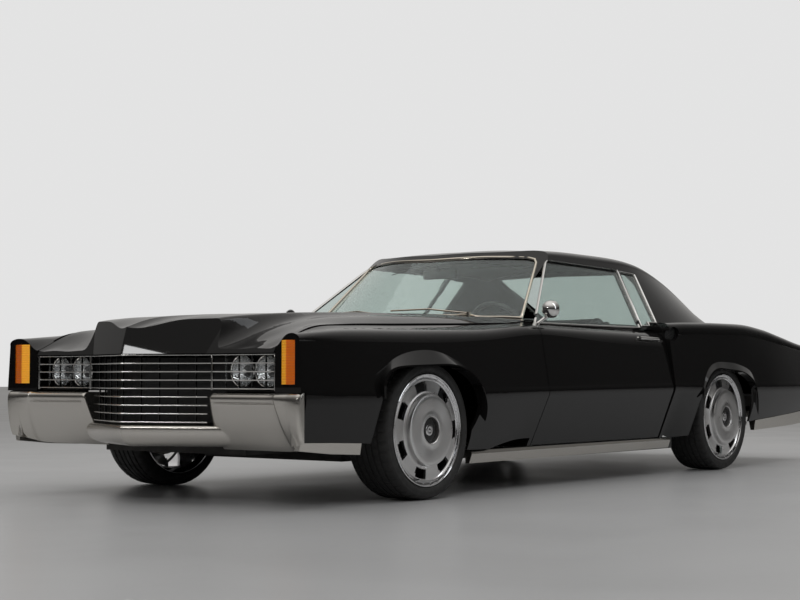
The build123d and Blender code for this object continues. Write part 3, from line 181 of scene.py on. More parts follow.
# %% Black paint
PAINT, tree, shader = new_material("black_paint", (0.004, 0.004, 0.005), 0.4, coat_weight=1.0,
                                   coat_roughness=0.015, coat_ior=1.5, specular_ior_level=0.0)
flake = object_noise(tree, 900, 2)
tint(tree, shader, flake, (0.0015, 0.0015, 0.002), (0.007, 0.0065, 0.006))
vary(tree, shader, "Roughness", object_noise(tree, 6), 0.36, 0.46)
PAINTED = ("hood", "fender_left", "fender_right", "cowl", "door_left", "door_right", "quarter_left",
           "quarter_right", "rear_deck", "trunk_lid", "roof", "tail_panel")
give(PAINT, *PAINTED)
print("ready: black paint")

# %% [markdown]
# ## Satin nickel and bright metal
# The bumpers and the sill trims are a warm satin metal: fully metallic, with a roughness
# that blurs the room into soft gradients. A very gentle streak along the car stands for the
# brushing. The grille, handles and window trims are polished instead.

# %% Bumper and bright metal
SATIN, tree, shader = new_material("satin_metal", (0.70, 0.67, 0.62), 0.22, 1.0)
streak = object_noise(tree, 30, 3, (0.2, 0.2, 5))
vary(tree, shader, "Roughness", streak, 0.20, 0.245)
tint(tree, shader, object_noise(tree, 2), (0.68, 0.65, 0.60), (0.73, 0.70, 0.655))
give(SATIN, "front_bumper", "rear_bumper", "lower_trims")

BRIGHT, tree, shader = new_material("bright_metal", (0.84, 0.83, 0.81), 0.08, 1.0)
vary(tree, shader, "Roughness", object_noise(tree, 40), 0.05, 0.12)
give(BRIGHT, "grille", "door_hardware_left", "door_hardware_right")
CHAMPAGNE, tree, shader = new_material("champagne_metal", (0.78, 0.72, 0.62), 0.16, 1.0)
vary(tree, shader, "Roughness", object_noise(tree, 30), 0.12, 0.2)
give(CHAMPAGNE, "wipers")
print("ready: bumper and bright metal")

# %% [markdown]
# ## Glass and lenses
# Car glass is thin and faintly green. A transmissive shader with a tinted base gives that,
# and a little roughness noise stands for the wiped surface. The corner lamps are amber
# plastic moulded with fine level ribs, and their ribs are a wave in height. Their colour is a
# ramp across the car that paints shade: bright amber on the front facet, a dark red-amber on
# the outer facet that faces the side. The same colour feeds a faint emission, a painted glow.

# %% Glass and lenses
GLASS, tree, shader = new_material("tinted_glass", (0.66, 0.74, 0.71), 0.0, transmission_weight=1.0,
                                   ior=1.45)
vary(tree, shader, "Roughness", object_noise(tree, 2), 0.0, 0.01)
give(GLASS, "fixed_glass", "door_glass_left", "door_glass_right")

CLEAR_GLASS, tree, shader = new_material("clear_lens", (0.97, 0.98, 0.98), 0.0,
                                         transmission_weight=1.0, ior=1.45)
vary(tree, shader, "Roughness", object_noise(tree, 30), 0.0, 0.02)

# The faint emission is a painted glow: the lamp is not lit.
AMBER, tree, shader = new_material("amber_lens", (0.90, 0.27, 0.01), 0.14, coat_weight=0.7,
                                   emission_strength=0.12,
                                   subsurface_weight=0.2)
place = add(tree, "ShaderNodeTexCoord")
split = add(tree, "ShaderNodeSeparateXYZ")
across = add(tree, "ShaderNodeMath", operation="ABSOLUTE")
# Painted shade: past the facet ridge the ramp turns dark red-amber, so the outer, side-facing facet is coloured darker
# than the front one.
side_facet_shade_share = add(tree, "ShaderNodeMapRange")
side_facet_shade_share.inputs["From Min"].default_value = 0.780
side_facet_shade_share.inputs["From Max"].default_value = 0.930
side_facet_shade_ramp = add(tree, "ShaderNodeValToRGB")
side_facet_shade_ramp.color_ramp.elements[0].position = 0.56
side_facet_shade_ramp.color_ramp.elements[0].color = (0.95, 0.40, 0.03, 1)
side_facet_shade_ramp.color_ramp.elements[1].position = 0.62
side_facet_shade_ramp.color_ramp.elements[1].color = (0.50, 0.10, 0.003, 1)
tree.links.new(place.outputs["Object"], split.inputs["Vector"])
tree.links.new(split.outputs["X"], across.inputs[0])
tree.links.new(across.outputs["Value"], side_facet_shade_share.inputs["Value"])
tree.links.new(side_facet_shade_share.outputs["Result"], side_facet_shade_ramp.inputs["Fac"])
tree.links.new(side_facet_shade_ramp.outputs["Color"], shader.inputs["Base Color"])
tree.links.new(side_facet_shade_ramp.outputs["Color"], shader.inputs["Emission Color"])
ribs = add(tree, "ShaderNodeTexWave", bands_direction="Z", Scale=28.0)
tree.links.new(place.outputs["Object"], ribs.inputs["Vector"])
bump(tree, shader, ribs, 0.5, 0.002)
give(AMBER, "corner_lamps")

RED, tree, shader = new_material("red_lens", (0.42, 0.006, 0.006), 0.12, coat_weight=0.7)
ribs = add(tree, "ShaderNodeTexWave", bands_direction="X", Scale=18.0)
place = add(tree, "ShaderNodeTexCoord")
tree.links.new(place.outputs["Object"], ribs.inputs["Vector"])
bump(tree, shader, ribs, 0.35, 0.002)
tint(tree, shader, object_noise(tree, 20), (0.36, 0.004, 0.004), (0.50, 0.010, 0.008))
give(RED, "tail_lamps")

REFLECTOR, tree, shader = new_material("lamp_reflector", (0.55, 0.56, 0.57), 0.08, 1.0)
facets = add(tree, "ShaderNodeTexVoronoi", Scale=110.0)
place = add(tree, "ShaderNodeTexCoord")
tree.links.new(place.outputs["Object"], facets.inputs["Vector"])
bump(tree, shader, facets, 0.6, 0.003, "Distance")
MIRROR, tree, shader = new_material("mirror_glass", (0.88, 0.89, 0.90), 0.01, 1.0)
vary(tree, shader, "Roughness", object_noise(tree, 5), 0.0, 0.02)
print("ready: glass and lenses")

# %% [markdown]
# ## Rubber, wheel metal, iron and cloth
# Tyre rubber is never quite black, and it is rough with a fine grain. The wheels are
# polished aluminium at the lip and machined on the face, where fine rings run round the
# hub. Iron under the car is dull and a little uneven. Leather has a fine grain made of two
# noises, and the carpet is a coarse, fuzzy one with some sheen.

# %% Rubber and metals
RUBBER, tree, shader = new_material("tyre_rubber", (0.016, 0.016, 0.016), 0.62)
tint(tree, shader, object_noise(tree, 14), (0.012, 0.012, 0.012), (0.022, 0.021, 0.020))
vary(tree, shader, "Roughness", object_noise(tree, 30), 0.5, 0.75)
bump(tree, shader, object_noise(tree, 500), 0.15, 0.0004)

POLISHED, tree, shader = new_material("polished_wheel", (0.86, 0.86, 0.87), 0.06, 1.0)
vary(tree, shader, "Roughness", object_noise(tree, 25), 0.04, 0.1)

IRON, tree, shader = new_material("dark_iron", (0.05, 0.05, 0.05), 0.6, 0.4)
tint(tree, shader, object_noise(tree, 9), (0.03, 0.03, 0.03), (0.07, 0.065, 0.06))
vary(tree, shader, "Roughness", object_noise(tree, 20), 0.5, 0.8)
give(IRON, "knuckle_left", "knuckle_right", "rear_axle", "front_suspension", "engine_block",
     "frame_rails",
     "fuel_tank")
BLACK_PLASTIC, tree, shader = new_material("black_plastic", (0.010, 0.010, 0.010), 0.55)
vary(tree, shader, "Roughness", object_noise(tree, 60), 0.45, 0.65)
bump(tree, shader, object_noise(tree, 700), 0.1, 0.0003)
give(BLACK_PLASTIC, "radiator_support", "headlamps")
STEEL, tree, shader = new_material("aged_steel", (0.36, 0.34, 0.31), 0.38, 1.0)
tint(tree, shader, object_noise(tree, 8), (0.26, 0.23, 0.20), (0.44, 0.42, 0.40))
vary(tree, shader, "Roughness", object_noise(tree, 25), 0.28, 0.5)
give(STEEL, "exhaust")
print("ready: rubber and metals")

# %% Cabin finishes
LEATHER, tree, shader = new_material("black_leather", (0.020, 0.018, 0.017), 0.42, coat_weight=0.08)
grain = object_noise(tree, 260, 4)
tint(tree, shader, object_noise(tree, 5), (0.014, 0.013, 0.012), (0.030, 0.027, 0.025))
vary(tree, shader, "Roughness", grain, 0.36, 0.52)
bump(tree, shader, grain, 0.25, 0.0006)
CARPET, tree, shader = new_material("black_carpet", (0.018, 0.017, 0.016), 0.95, sheen_weight=0.4)
pile = object_noise(tree, 420, 5)
tint(tree, shader, pile, (0.010, 0.010, 0.009), (0.032, 0.030, 0.028))
bump(tree, shader, pile, 0.6, 0.002)
HEADLINING, tree, shader = new_material("headlining", (0.03, 0.028, 0.026), 0.9, sheen_weight=0.2)
weave = object_noise(tree, 350, 2)
tint(tree, shader, weave, (0.020, 0.019, 0.018), (0.042, 0.039, 0.036))
bump(tree, shader, weave, 0.3, 0.0005)
WOOD, tree, shader = new_material("burr_wood", (0.16, 0.07, 0.025), 0.2, coat_weight=0.8)
figure = object_noise(tree, 16, 6, (1, 1, 3))
tint(tree, shader, figure, (0.06, 0.022, 0.008), (0.26, 0.12, 0.045))
vary(tree, shader, "Roughness", figure, 0.18, 0.3)
DIAL, tree, shader = new_material("dial_face", (0.015, 0.015, 0.016), 0.3, coat_weight=0.5)
vary(tree, shader, "Roughness", object_noise(tree, 100), 0.25, 0.4)
WHITE, tree, shader = new_material("white_enamel", (0.75, 0.75, 0.73), 0.35)
tint(tree, shader, object_noise(tree, 10), (0.70, 0.70, 0.68), (0.80, 0.80, 0.78))
vary(tree, shader, "Roughness", object_noise(tree, 50), 0.3, 0.42)
give(LEATHER, "dashboard", "steering_wheel", "front_seats", "rear_seat")
give(CARPET, "floor_pan")
print(len(bpy.data.materials), "finishes")

# %% [markdown]
# ## Tools for building pieces
# Every piece below is a plain mesh made from lists of points. A lathe turns a profile round
# an axle, a tube follows a path, a prism gives an outline thickness, and a bead runs a small
# section round an opening. Each piece rides on one of the car's moving bodies, and soft
# edges come from a bevel.

# %% Mesh pieces
def finish_piece(name, verts, faces, finish, body, bevel=0.0, smooth=35.0):
    mesh = bpy.data.meshes.new(name)
    mesh.from_pydata([tuple(v) for v in verts], [], faces)
    mesh.validate()
    working = bmesh.new()
    working.from_mesh(mesh)
    bmesh.ops.recalc_face_normals(working, faces=working.faces)
    working.to_mesh(mesh)
    working.free()
    mesh.materials.append(finish)
    piece = bpy.data.objects.new(name, mesh)
    bpy.context.scene.collection.objects.link(piece)
    if bevel:
        edge = piece.modifiers.new("soft_edges", "BEVEL")
        edge.width = bevel
        edge.segments = 2
        edge.limit_method = "ANGLE"
    mesh.shade_smooth()
    mesh.set_sharp_from_angle(angle=math.radians(smooth))
    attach(piece, body)
    return piece


def grid_faces(rows, columns, close_rows=False, close_columns=False):
    faces = []
    for i in range(rows if close_rows else rows - 1):
        for j in range(columns if close_columns else columns - 1):
            a, b = (i + 1) % rows, (j + 1) % columns
            faces.append((i * columns + j, i * columns + b, a * columns + b, a * columns + j))
    return faces


def lathe_points(profile, centre, axle, steps):
    """Rings of points: (offset along the axle, radius) turned round a centre."""
    axle = Vector(axle).normalized()
    side = axle.orthogonal().normalized()
    up = axle.cross(side)
    turns = [2 * math.pi * k / steps for k in range(steps)]
    return [Vector(centre) + axle * a + (side * math.cos(t) + up * math.sin(t)) * r for a,
            r in profile for t in turns]


def lathe(name, profile, centre, axle, finish, body, steps=64, closed=False, bevel=0.0):
    verts = lathe_points(profile, centre, axle, steps)
    faces = grid_faces(len(profile), steps, close_rows=closed, close_columns=True)
    return finish_piece(name, verts, faces, finish, body, bevel)


def tube_points(path, radius, steps):
    points = [Vector(p) for p in path]
    rings = []
    for i, point in enumerate(points):
        ahead = (points[min(i + 1, len(points) - 1)] - points[max(i - 1, 0)]).normalized()
        side = ahead.cross(Vector((0, 0, 1)))
        side = side.normalized() if side.length > 0.05 else Vector((1, 0, 0))
        up = side.cross(ahead).normalized()
        for k in range(steps):
            turn = 2 * math.pi * k / steps
            rings.append(point + (side * math.cos(turn) + up * math.sin(turn)) * radius)
    return rings


def tube(name, path, radius, finish, body, steps=12):
    rings = tube_points(path, radius, steps)
    faces = grid_faces(len(path), steps, close_columns=True)
    faces += [tuple(range(steps)), tuple(range((len(path) - 1) * steps, len(path) * steps))]
    return finish_piece(name, rings, faces, finish, body)


def prism(name, outline, axis, low, high, finish, body, bevel=0.003):
    """Outline in the two other axes, given thickness along axis 0, 1 or 2."""
    def place(pair, depth):
        point = list(pair)
        point.insert(axis, depth)
        return point
    n = len(outline)
    verts = [place(p, low) for p in outline] + [place(p, high) for p in outline]
    faces = [tuple(range(n)), tuple(range(n, 2 * n))]
    faces += [(i, (i + 1) % n, n + (i + 1) % n, n + i) for i in range(n)]
    return finish_piece(name, verts, faces, finish, body, bevel)


def block(name, x, y, z, finish, body, bevel=0.004):
    outline = [(x[0], y[0]), (x[1], y[0]), (x[1], y[1]), (x[0], y[1])]
    return prism(name, outline, 2, z[0], z[1], finish, body, bevel)


def joined(name, pieces):
    """Make one named piece of several that share a body."""
    keep, rest = pieces[0], pieces[1:]
    working = bmesh.new()
    finishes = []
    for piece in pieces:
        depsgraph = bpy.context.evaluated_depsgraph_get()
        shape = bpy.data.meshes.new_from_object(piece.evaluated_get(depsgraph))
        finish = piece.data.materials[0]
        if finish not in finishes:
            finishes.append(finish)
        for face in shape.polygons:
            face.material_index = finishes.index(finish)
        working.from_mesh(shape)
        bpy.data.meshes.remove(shape)
    keep.modifiers.clear()
    keep.data.clear_geometry()
    keep.data.materials.clear()
    for finish in finishes:
        keep.data.materials.append(finish)
    working.to_mesh(keep.data)
    working.free()
    for piece in rest:
        bpy.data.objects.remove(piece)
    keep.name = keep.data.name = name
    keep.data.shade_smooth()
    keep.data.set_sharp_from_angle(angle=math.radians(35))
    return keep


print("ready: mesh pieces")


# %% [markdown]
# ## Bright frames round the glass
# Every pane sits in a thin bright frame. The frame's line isn't drawn again by hand: it is
# the pane's own outer edge, read from its mesh. The pane's outward faces are picked by their
# direction, the edges round them are joined into a loop, and a small rounded section is
# swept along that loop, half over the glass and half over the body.

# %% Reading a pane's edge
def pane_loops(node):
    """For each pane in a node: its outer edge as points, with the skin's direction there."""
    working = bmesh.new()
    working.from_mesh(NODES[node].data)
    working.transform(NODES[node].matrix_world)
    bmesh.ops.remove_doubles(working, verts=working.verts, dist=0.00008)
    bmesh.ops.recalc_face_normals(working, faces=working.faces)
    left = set(working.faces)
    loops = []
    while left:
        island, front = set(), [next(iter(left))]
        while front:
            face = front.pop()
            if face in island:
                continue
            island.add(face)
            front += [other for edge in face.edges for other in edge.link_faces if other not in island]
        left -= island
        middle = sum((f.calc_center_median() * f.calc_area() for f in island), Vector()) / sum(
            f.calc_area() for f in island)
        away = (middle - Vector((0, 0.55, 0.2)))
        away.x *= 3.0 if abs(middle.x) > 0.3 else 0.0
        away.z = max(away.z, 0.3)
        away.normalize()
        outer = {f for f in island if f.normal.dot(away) > 0.45}
        rim = [e for e in {e for f in outer for e in f.edges} if sum(f in outer for f in e.link_faces) == 1]
        loops.append(chain(rim, outer))
    working.free()
    return [loop for loop in loops if loop]


def chain(rim, outer):
    follow = {}
    for edge in rim:
        for vert in edge.verts:
            follow.setdefault(vert, []).append(edge)
    start = rim[0].verts[0]
    vert, edge, loop = start, rim[0], []
    while True:
        faces = [f for f in vert.link_faces if f in outer]
        normal = sum((f.normal for f in faces), Vector()).normalized()
        loop.append((vert.co.copy(), normal))
        vert = edge.other_vert(vert)
        if vert is start or len(follow[vert]) != 2:
            break
        edge = [e for e in follow[vert] if e is not edge][0]
    return loop


def spaced(loop, gap):
    """The loop again with points at most gap apart, corners kept."""
    result = []
    for (a, na), (b, nb) in zip(loop, loop[1:] + loop[:1]):
        if result and (a - result[-1][0]).length < 0.0015:
            continue
        count = max(1, round((b - a).length / gap))
        for k in range(count):
            share = k / count
            result.append((a.lerp(b, share), na.lerp(nb, share).normalized()))
    return result


def bead(name, loop, section, finish, body, closed=True):
    """Sweep (outwards, upwards) section points along a loop of (point, normal)."""
    count = len(loop)
    middle = sum((point for point, _ in loop), Vector()) / count
    verts = []
    for i, (point, normal) in enumerate(loop):
        last = loop[i - 1][0] if closed or i else point
        following = loop[(i + 1) % count][0] if closed or i < count - 1 else point
        ahead = (following - last).normalized()
        out = ahead.cross(normal).normalized()
        if out.dot(point - middle) < 0 and closed:
            out = -out
        first = (point - last).normalized() if (point - last).length > 1e-6 else ahead
        corner = 1 / max(0.6, abs(first.dot(ahead)))
        for a, b in section:
            verts.append(point + out * a * corner + normal * b)
    faces = grid_faces(count, len(section), close_rows=closed, close_columns=True)
    if not closed:
        faces += [tuple(range(len(section))), tuple(range((count - 1) * len(section),
                                                          count * len(section)))]
    return finish_piece(name, verts, faces, finish, body, smooth=50)


def crowned(inside, outside, rise, sink):
    """Section of a bead: a low crown from inside to outside, with feet that sink in."""
    width = outside - inside
    top = [(inside + width * k / 6,
            rise * math.sin(math.pi * (0.12 + 0.76 * k / 6)) ** 0.6) for k in range(7)]
    return [(inside, -sink)] + top + [(outside, -sink)]


print("ready: reading a pane's edge")


# %% Frames of the fixed panes
FIXED = pane_loops("fixed_glass")
print("fixed panes:", len(FIXED), [len(loop) for loop in FIXED])
for loop in FIXED:
    middle = sum((p for p, n in loop), Vector()) / len(loop)
    evenly = spaced(loop, 0.03)
    if abs(middle.x) > 0.3:
        side = "left" if middle.x > 0 else "right"
        bead(f"quarter_glass_frame_{side}", evenly, crowned(-0.010, 0.004, 0.0125, 0.001), BRIGHT,
             "body")
    elif middle.y < 0:
        bead("windshield_frame", evenly, crowned(-0.010, 0.006, 0.0135, 0.001), CHAMPAGNE, "body")
    else:
        bead("rear_window_frame", evenly, crowned(-0.010, 0.005, 0.0125, 0.001), BRIGHT, "body")

# %% Frames of the door windows
BELT = 0.885
for side, sign in SIDES:
    loop = spaced(pane_loops(f"door_glass_{side}")[0], 0.03)
    low_points = [p.z < BELT for p, n in loop]
    start = next(i for i in range(len(loop)) if low_points[i - 1] and not low_points[i])
    turned_loop = loop[start:] + loop[:start]
    upper = [item for item in turned_loop if item[0].z >= BELT]
    lower = [item for item in turned_loop if item[0].z < BELT]
    middle = sum((p for p, n in loop), Vector()) / len(loop)
    test = upper[len(upper) // 2]
    ahead = (upper[len(upper) // 2 + 1][0] - upper[len(upper) // 2 - 1][0]).normalized()
    flip_it = ahead.cross(test[1]).dot(test[0] - middle) < 0
    if flip_it:
        upper, lower = upper[::-1], lower[::-1]
    bead(f"side_window_frame_{side}", upper, crowned(0.0012, 0.0095, 0.0125, 0.002), BRIGHT, "body",
         closed=False)
    bead(f"belt_trim_{side}", lower, crowned(-0.007, 0.004, 0.006, 0.006), BRIGHT, f"door_{side}",
         closed=False)
    print(side, "door window:", len(upper), "upper and", len(lower), "belt points")

# %% [markdown]
# ## Tyres with tread
# A low-profile tyre is a profile turned round the hub, but its tread isn't a plain band: it
# has grooves round it and blocks across its shoulders. So the profile is turned in many
# small steps, and the points of every few steps are pushed in to make the cross grooves.

# %% Tyres
TYRE_STEPS = 252
SIDEWALL = [(0.0990, 0.2434), (0.0985, 0.2600), (0.1020, 0.2640), (0.1110, 0.2660),
            (0.1165, 0.2690),
            (0.1195, 0.2720), (0.1185, 0.2740), (0.1215, 0.2790), (0.1224, 0.2870),
            (0.1218, 0.2960),
            (0.1188, 0.3050), (0.1190, 0.3065), (0.1140, 0.3140), (0.1060, 0.3190)]
TREAD = [(0.0980, 0.3215), (0.0900, 0.3228), (0.0740, 0.3240), (0.0720, 0.3180), (0.0660, 0.3180),
         (0.0640, 0.3243),
         (0.0380, 0.3248), (0.0360, 0.3185), (0.0290, 0.3185), (0.0270, 0.3249), (0.0040, 0.3250),
         (0.0030, 0.3200)]
profile = SIDEWALL + TREAD
profile = profile + [(-a, r) for a, r in reversed(profile)]
offsets = np.array([a for a, r in profile])
radii = np.array([r for a, r in profile])
step = np.arange(TYRE_STEPS)
radius = np.repeat(radii[:, None], TYRE_STEPS, 1)
shoulder = (np.abs(offsets) > 0.073) & (radii > 0.3185)
block_row = (np.abs(offsets) < 0.065) & (np.abs(offsets) > 0.037) & (radii > 0.3185)
radius[np.ix_(shoulder, step % 6 == 0)] -= 0.0045
radius[np.ix_(block_row, step % 6 == 3)] -= 0.0035
turn = 2 * np.pi * step / TYRE_STEPS
for name, hub in WHEELS.items():
    ring = np.empty((len(profile), TYRE_STEPS, 3))
    ring[:, :, 0] = hub.x + offsets[:, None]
    ring[:, :, 1] = hub.y + radius * np.cos(turn)
    ring[:, :, 2] = hub.z + radius * np.sin(turn)
    faces = grid_faces(len(profile), TYRE_STEPS, close_rows=True, close_columns=True)
    piece = finish_piece(f"tread_tyre_{name}", ring.reshape(-1, 3), faces, RUBBER, f"wheel_{name}")
    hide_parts(f"tyre_{name}")
print("tyre:", len(profile) * TYRE_STEPS, "faces each")

# %% [markdown]
# ## Wheels
# Each wheel is a polished barrel and lip with a thick machined plate in it. Seven windows
# are cut near the plate's edge, and its middle stands proud as a broad disc with fine
# turned rings and a deep hub well. A polar grid makes the plate: rings of a profile, and
# steps round the hub, with the faces inside the windows left out and their walls added.
# The turned metal's highlights stretch across the rings, so its tangent runs round the hub.

# %% Turned metal
def turned_metal(name, hub):
    material, tree, shader = new_material(name, (0.82, 0.81, 0.80), 0.30, 1.0, anisotropic=0.75)
    place = add(tree, "ShaderNodeTexCoord")
    centred = add(tree, "ShaderNodeVectorMath", operation="SUBTRACT")
    centred.inputs[1].default_value = (0, hub.y, hub.z)
    round_hub = add(tree, "ShaderNodeVectorMath", operation="CROSS_PRODUCT")
    round_hub.inputs[0].default_value = (1, 0, 0)
    rings = add(tree, "ShaderNodeTexWave", wave_type="RINGS", rings_direction="X", Scale=42.0,
                Distortion=0.0)
    tree.links.new(place.outputs["Object"], centred.inputs[0])
    tree.links.new(centred.outputs["Vector"], round_hub.inputs[1])
    tree.links.new(round_hub.outputs["Vector"], shader.inputs["Tangent"])
    tree.links.new(centred.outputs["Vector"], rings.inputs["Vector"])
    vary(tree, shader, "Roughness", object_noise(tree, 20), 0.27, 0.34)
    bump(tree, shader, rings, 0.10, 0.0006)
    return material


TURNED = {end: turned_metal(f"turned_metal_{end}",
                            WHEELS[f"{end}_left"]) for end in ("front", "rear")}
print("ready: turned metal")

# %% Wheel shape
WINDOWS = 7
WINDOW_PHASE = math.radians(77.5)
WINDOW_HALF = math.radians(12.0)
WINDOW_RADII = (0.182, 0.2285)
STEPS = WINDOWS * 24
BARREL = [(-0.116, 0.260), (-0.110, 0.263), (-0.104, 0.259), (-0.100, 0.2432), (0.098, 0.2432),
          (0.104, 0.259),
          (0.110, 0.2635), (0.1155, 0.2625), (0.1165, 0.2595), (0.1150, 0.2565), (0.1100, 0.2545),
          (0.1090, 0.2500),
          (0.1080, 0.2465), (0.1020, 0.2440), (0.0985, 0.2400), (0.0970, 0.2365), (0.0700, 0.2355),
          (-0.0900, 0.2355),
          (-0.1040, 0.2460), (-0.1160, 0.2575)]
PLATE = [(0.1000, 0.2368), (0.1040, 0.2350), (0.1065, 0.2325), (0.1070, 0.2285), (0.1074, 0.2150),
         (0.1078, 0.2000),
         (0.1082, 0.1820), (0.1092, 0.1760), (0.1130, 0.1715), (0.1210, 0.1685), (0.1320, 0.1665),
         (0.1372, 0.1640),
         (0.1390, 0.1590), (0.1392, 0.1450), (0.1388, 0.1200), (0.1380, 0.0950), (0.1374, 0.0760),
         (0.1384, 0.0715),
         (0.1394, 0.0680), (0.1390, 0.0640), (0.1362, 0.0610), (0.1300, 0.0600), (0.1160, 0.0595)]
THICK = 0.016


def in_window(radius, angle):
    share = ((angle - WINDOW_PHASE) / (2 * math.pi) * WINDOWS) % 1.0
    off = abs(share - round(share)) * 2 * math.pi / WINDOWS
    inside = WINDOW_RADII[0] < radius < WINDOW_RADII[1]
    corner = 1.0 if 0.190 < radius < 0.221 else 0.86
    return inside and off < WINDOW_HALF * corner


def wheel_plate(hub, sign, finish, body):
    verts = []
    for back in (0.0, THICK):
        for a, r in PLATE:
            depth = a - back * (1.0 if r > 0.170 else 1.4)
            for k in range(STEPS):
                turn = 2 * math.pi * k / STEPS
                verts.append(hub + Vector((sign * depth, -r * math.cos(turn), r * math.sin(turn))))
    count = len(PLATE) * STEPS
    faces, walls = [], {}
    for i in range(len(PLATE) - 1):
        for k in range(STEPS):
            if in_window((PLATE[i][1] + PLATE[i + 1][1]) / 2, 2 * math.pi * (k + 0.5) / STEPS):
                continue
            quad = (i * STEPS + k, i * STEPS + (k + 1) % STEPS, (i + 1) * STEPS + (k + 1) % STEPS,
                    (i + 1) * STEPS + k)
            faces.append(quad)
            faces.append(tuple(v + count for v in reversed(quad)))
            for a, b in zip(quad, quad[1:] + quad[:1]):
                walls[(a, b)] = walls.get((a, b), 0) + 1
    faces += [(b, a, a + count, b + count) for a, b in walls if (b, a) not in walls]
    return finish_piece("plate", verts, faces, finish, body, smooth=40)


def hub_cap(hub, sign, body):
    """Dark dished cap at the bottom of the hub well, with a plain bright button."""
    centre = hub + Vector((sign * 0.116, 0, 0))
    dark = lathe("cap", [(-0.006, 0.0598), (0.001, 0.0590), (0.004, 0.050), (0.001, 0.040),
                         (0.006, 0.026), (0.007, 0.0001)],
                 centre, (sign, 0, 0), BLACK_PLASTIC, body, 48)
    button = lathe("button", [(0.004, 0.027), (0.0085, 0.025), (0.0105, 0.018), (0.0085, 0.012),
                              (0.0115, 0.0001)],
                   centre, (sign, 0, 0), POLISHED, body, 40)
    return [dark, button]


print("ready: wheel shape")


# %% Four wheels
for name, hub in WHEELS.items():
    sign = 1 if hub.x > 0 else -1
    body = f"wheel_{name}"
    parts = [lathe("barrel", BARREL, hub, (sign, 0, 0), POLISHED, body, 120, closed=True)]
    parts.append(wheel_plate(hub, sign, TURNED[name.split("_")[0]], body))
    parts += hub_cap(hub, sign, body)
    for k in range(28):
        angle = 2 * math.pi * (k + 0.5) / 28
        place = hub + Vector((sign * 0.1085, 0.2478 * math.cos(angle), 0.2478 * math.sin(angle)))
        parts.append(lathe("bolt", [(-0.003, 0.0001), (-0.003, 0.0026), (0.0018, 0.0025),
                                    (0.0028, 0.0014), (0.0030, 0.0001)],
                           place, (sign, 0, 0), POLISHED, body, steps=8))
    stem = hub + Vector((sign * 0.100, 0.2400 * math.cos(4.4), 0.2400 * math.sin(4.4)))
    parts.append(tube("stem", [stem, stem + Vector((sign * 0.018, 0.002, 0.004))], 0.003,
                      BLACK_PLASTIC, body))
    wheel = joined(f"wheel_{name}_face", parts)
    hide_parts(f"rim_{name}")
    back = hub + Vector((sign * 0.020, 0, 0))
    lathe(f"brake_disc_{name}", [(-0.014, 0.165), (0.000, 0.165), (0.000, 0.100), (0.016, 0.085),
                                 (0.016, 0.060),
                                        (-0.014, 0.060)], back, (sign, 0, 0), STEEL, body,
                                        closed=True, steps=72)
    lathe(f"hub_{name}", [(0.010, 0.0001), (0.010, 0.058), (0.098, 0.050), (0.104, 0.0001)], hub,
          (sign, 0, 0), IRON, body, 40)
    owner = f"knuckle_{name.split('_')[1]}" if "front" in name else "body"
    aim = 1 if "front" in name else -1
    outline = [(hub.y + aim * 0.190 * math.cos(t),
                hub.z + 0.190 * math.sin(t)) for t in np.radians(np.linspace(-34, 34, 9))]
    outline += [(hub.y + aim * 0.125 * math.cos(t),
                 hub.z + 0.125 * math.sin(t)) for t in np.radians(np.linspace(34, -34, 9))]
    x0, x1 = sorted((hub.x + sign * 0.0225, hub.x + sign * 0.046))
    prism(f"caliper_{name}", outline, 0, x0, x1, IRON, owner, 0.004)
print("wheels dressed")

# %% [markdown]
# ## Front bumper
# The real bumper is pressed metal: a V-shaped centre bar between two deep wings, each
# with a rolled upper lip, a groove under it and a blunt outer corner. A loft of smooth
# sections gives that. Each section is a short list of (station, height) points that is
# rounded by a Catmull-Rom curve, and the sections are then joined across the car.

# %% Smooth lofts
def rounded_line(points, per_span):
    """Points on a Catmull-Rom curve through the given ones."""
    points = [np.array(p, float) for p in points]
    padded = [2 * points[0] - points[1]] + points + [2 * points[-1] - points[-2]]
    line = []
    for a, b, c, d in zip(padded, padded[1:], padded[2:], padded[3:]):
        for k in range(per_span):
            t = k / per_span
            line.append(0.5 * (2 * b + (c - a) * t + (2 * a - 5 * b + 4 * c - d) * t * t + (3 * b - a - 3 * c + d) * t ** 3))
    return line + [points[-1]]


def loft_sections(name, sections, finish, body, smooth=38.0):
    """Closed piece from sections of equal length, each a list of (x, y, z)."""
    count = len(sections[0])
    verts = [v for section in sections for v in section]
    faces = grid_faces(len(sections), count, close_columns=True)
    faces += [tuple(range(count)), tuple(range((len(sections) - 1) * count, len(sections) * count))]
    return finish_piece(name, verts, faces, finish, body, smooth=smooth)


print("ready: smooth lofts")


# %% Wings
WING = [(-0.880, 0.502), (-0.900, 0.500), (-0.915, 0.489), (-0.918, 0.474), (-0.915, 0.463),
        (-0.9135, 0.4595),
        (-0.9125, 0.456), (-0.911, 0.450), (-0.900, 0.418), (-0.880, 0.366), (-0.853, 0.316),
        (-0.824, 0.275),
        (-0.795, 0.250)]
CORNER = [(-0.903, 0.505), (-0.918, 0.504), (-0.932, 0.493), (-0.9375, 0.477), (-0.9385, 0.462),
          (-0.9386, 0.459),
          (-0.9386, 0.456), (-0.9383, 0.448), (-0.9365, 0.420), (-0.9320, 0.384), (-0.9250, 0.342),
          (-0.9150, 0.306),
          (-0.9040, 0.288)]
GROOVE = (5, 6)
BUMPER_BACK = -0.8985
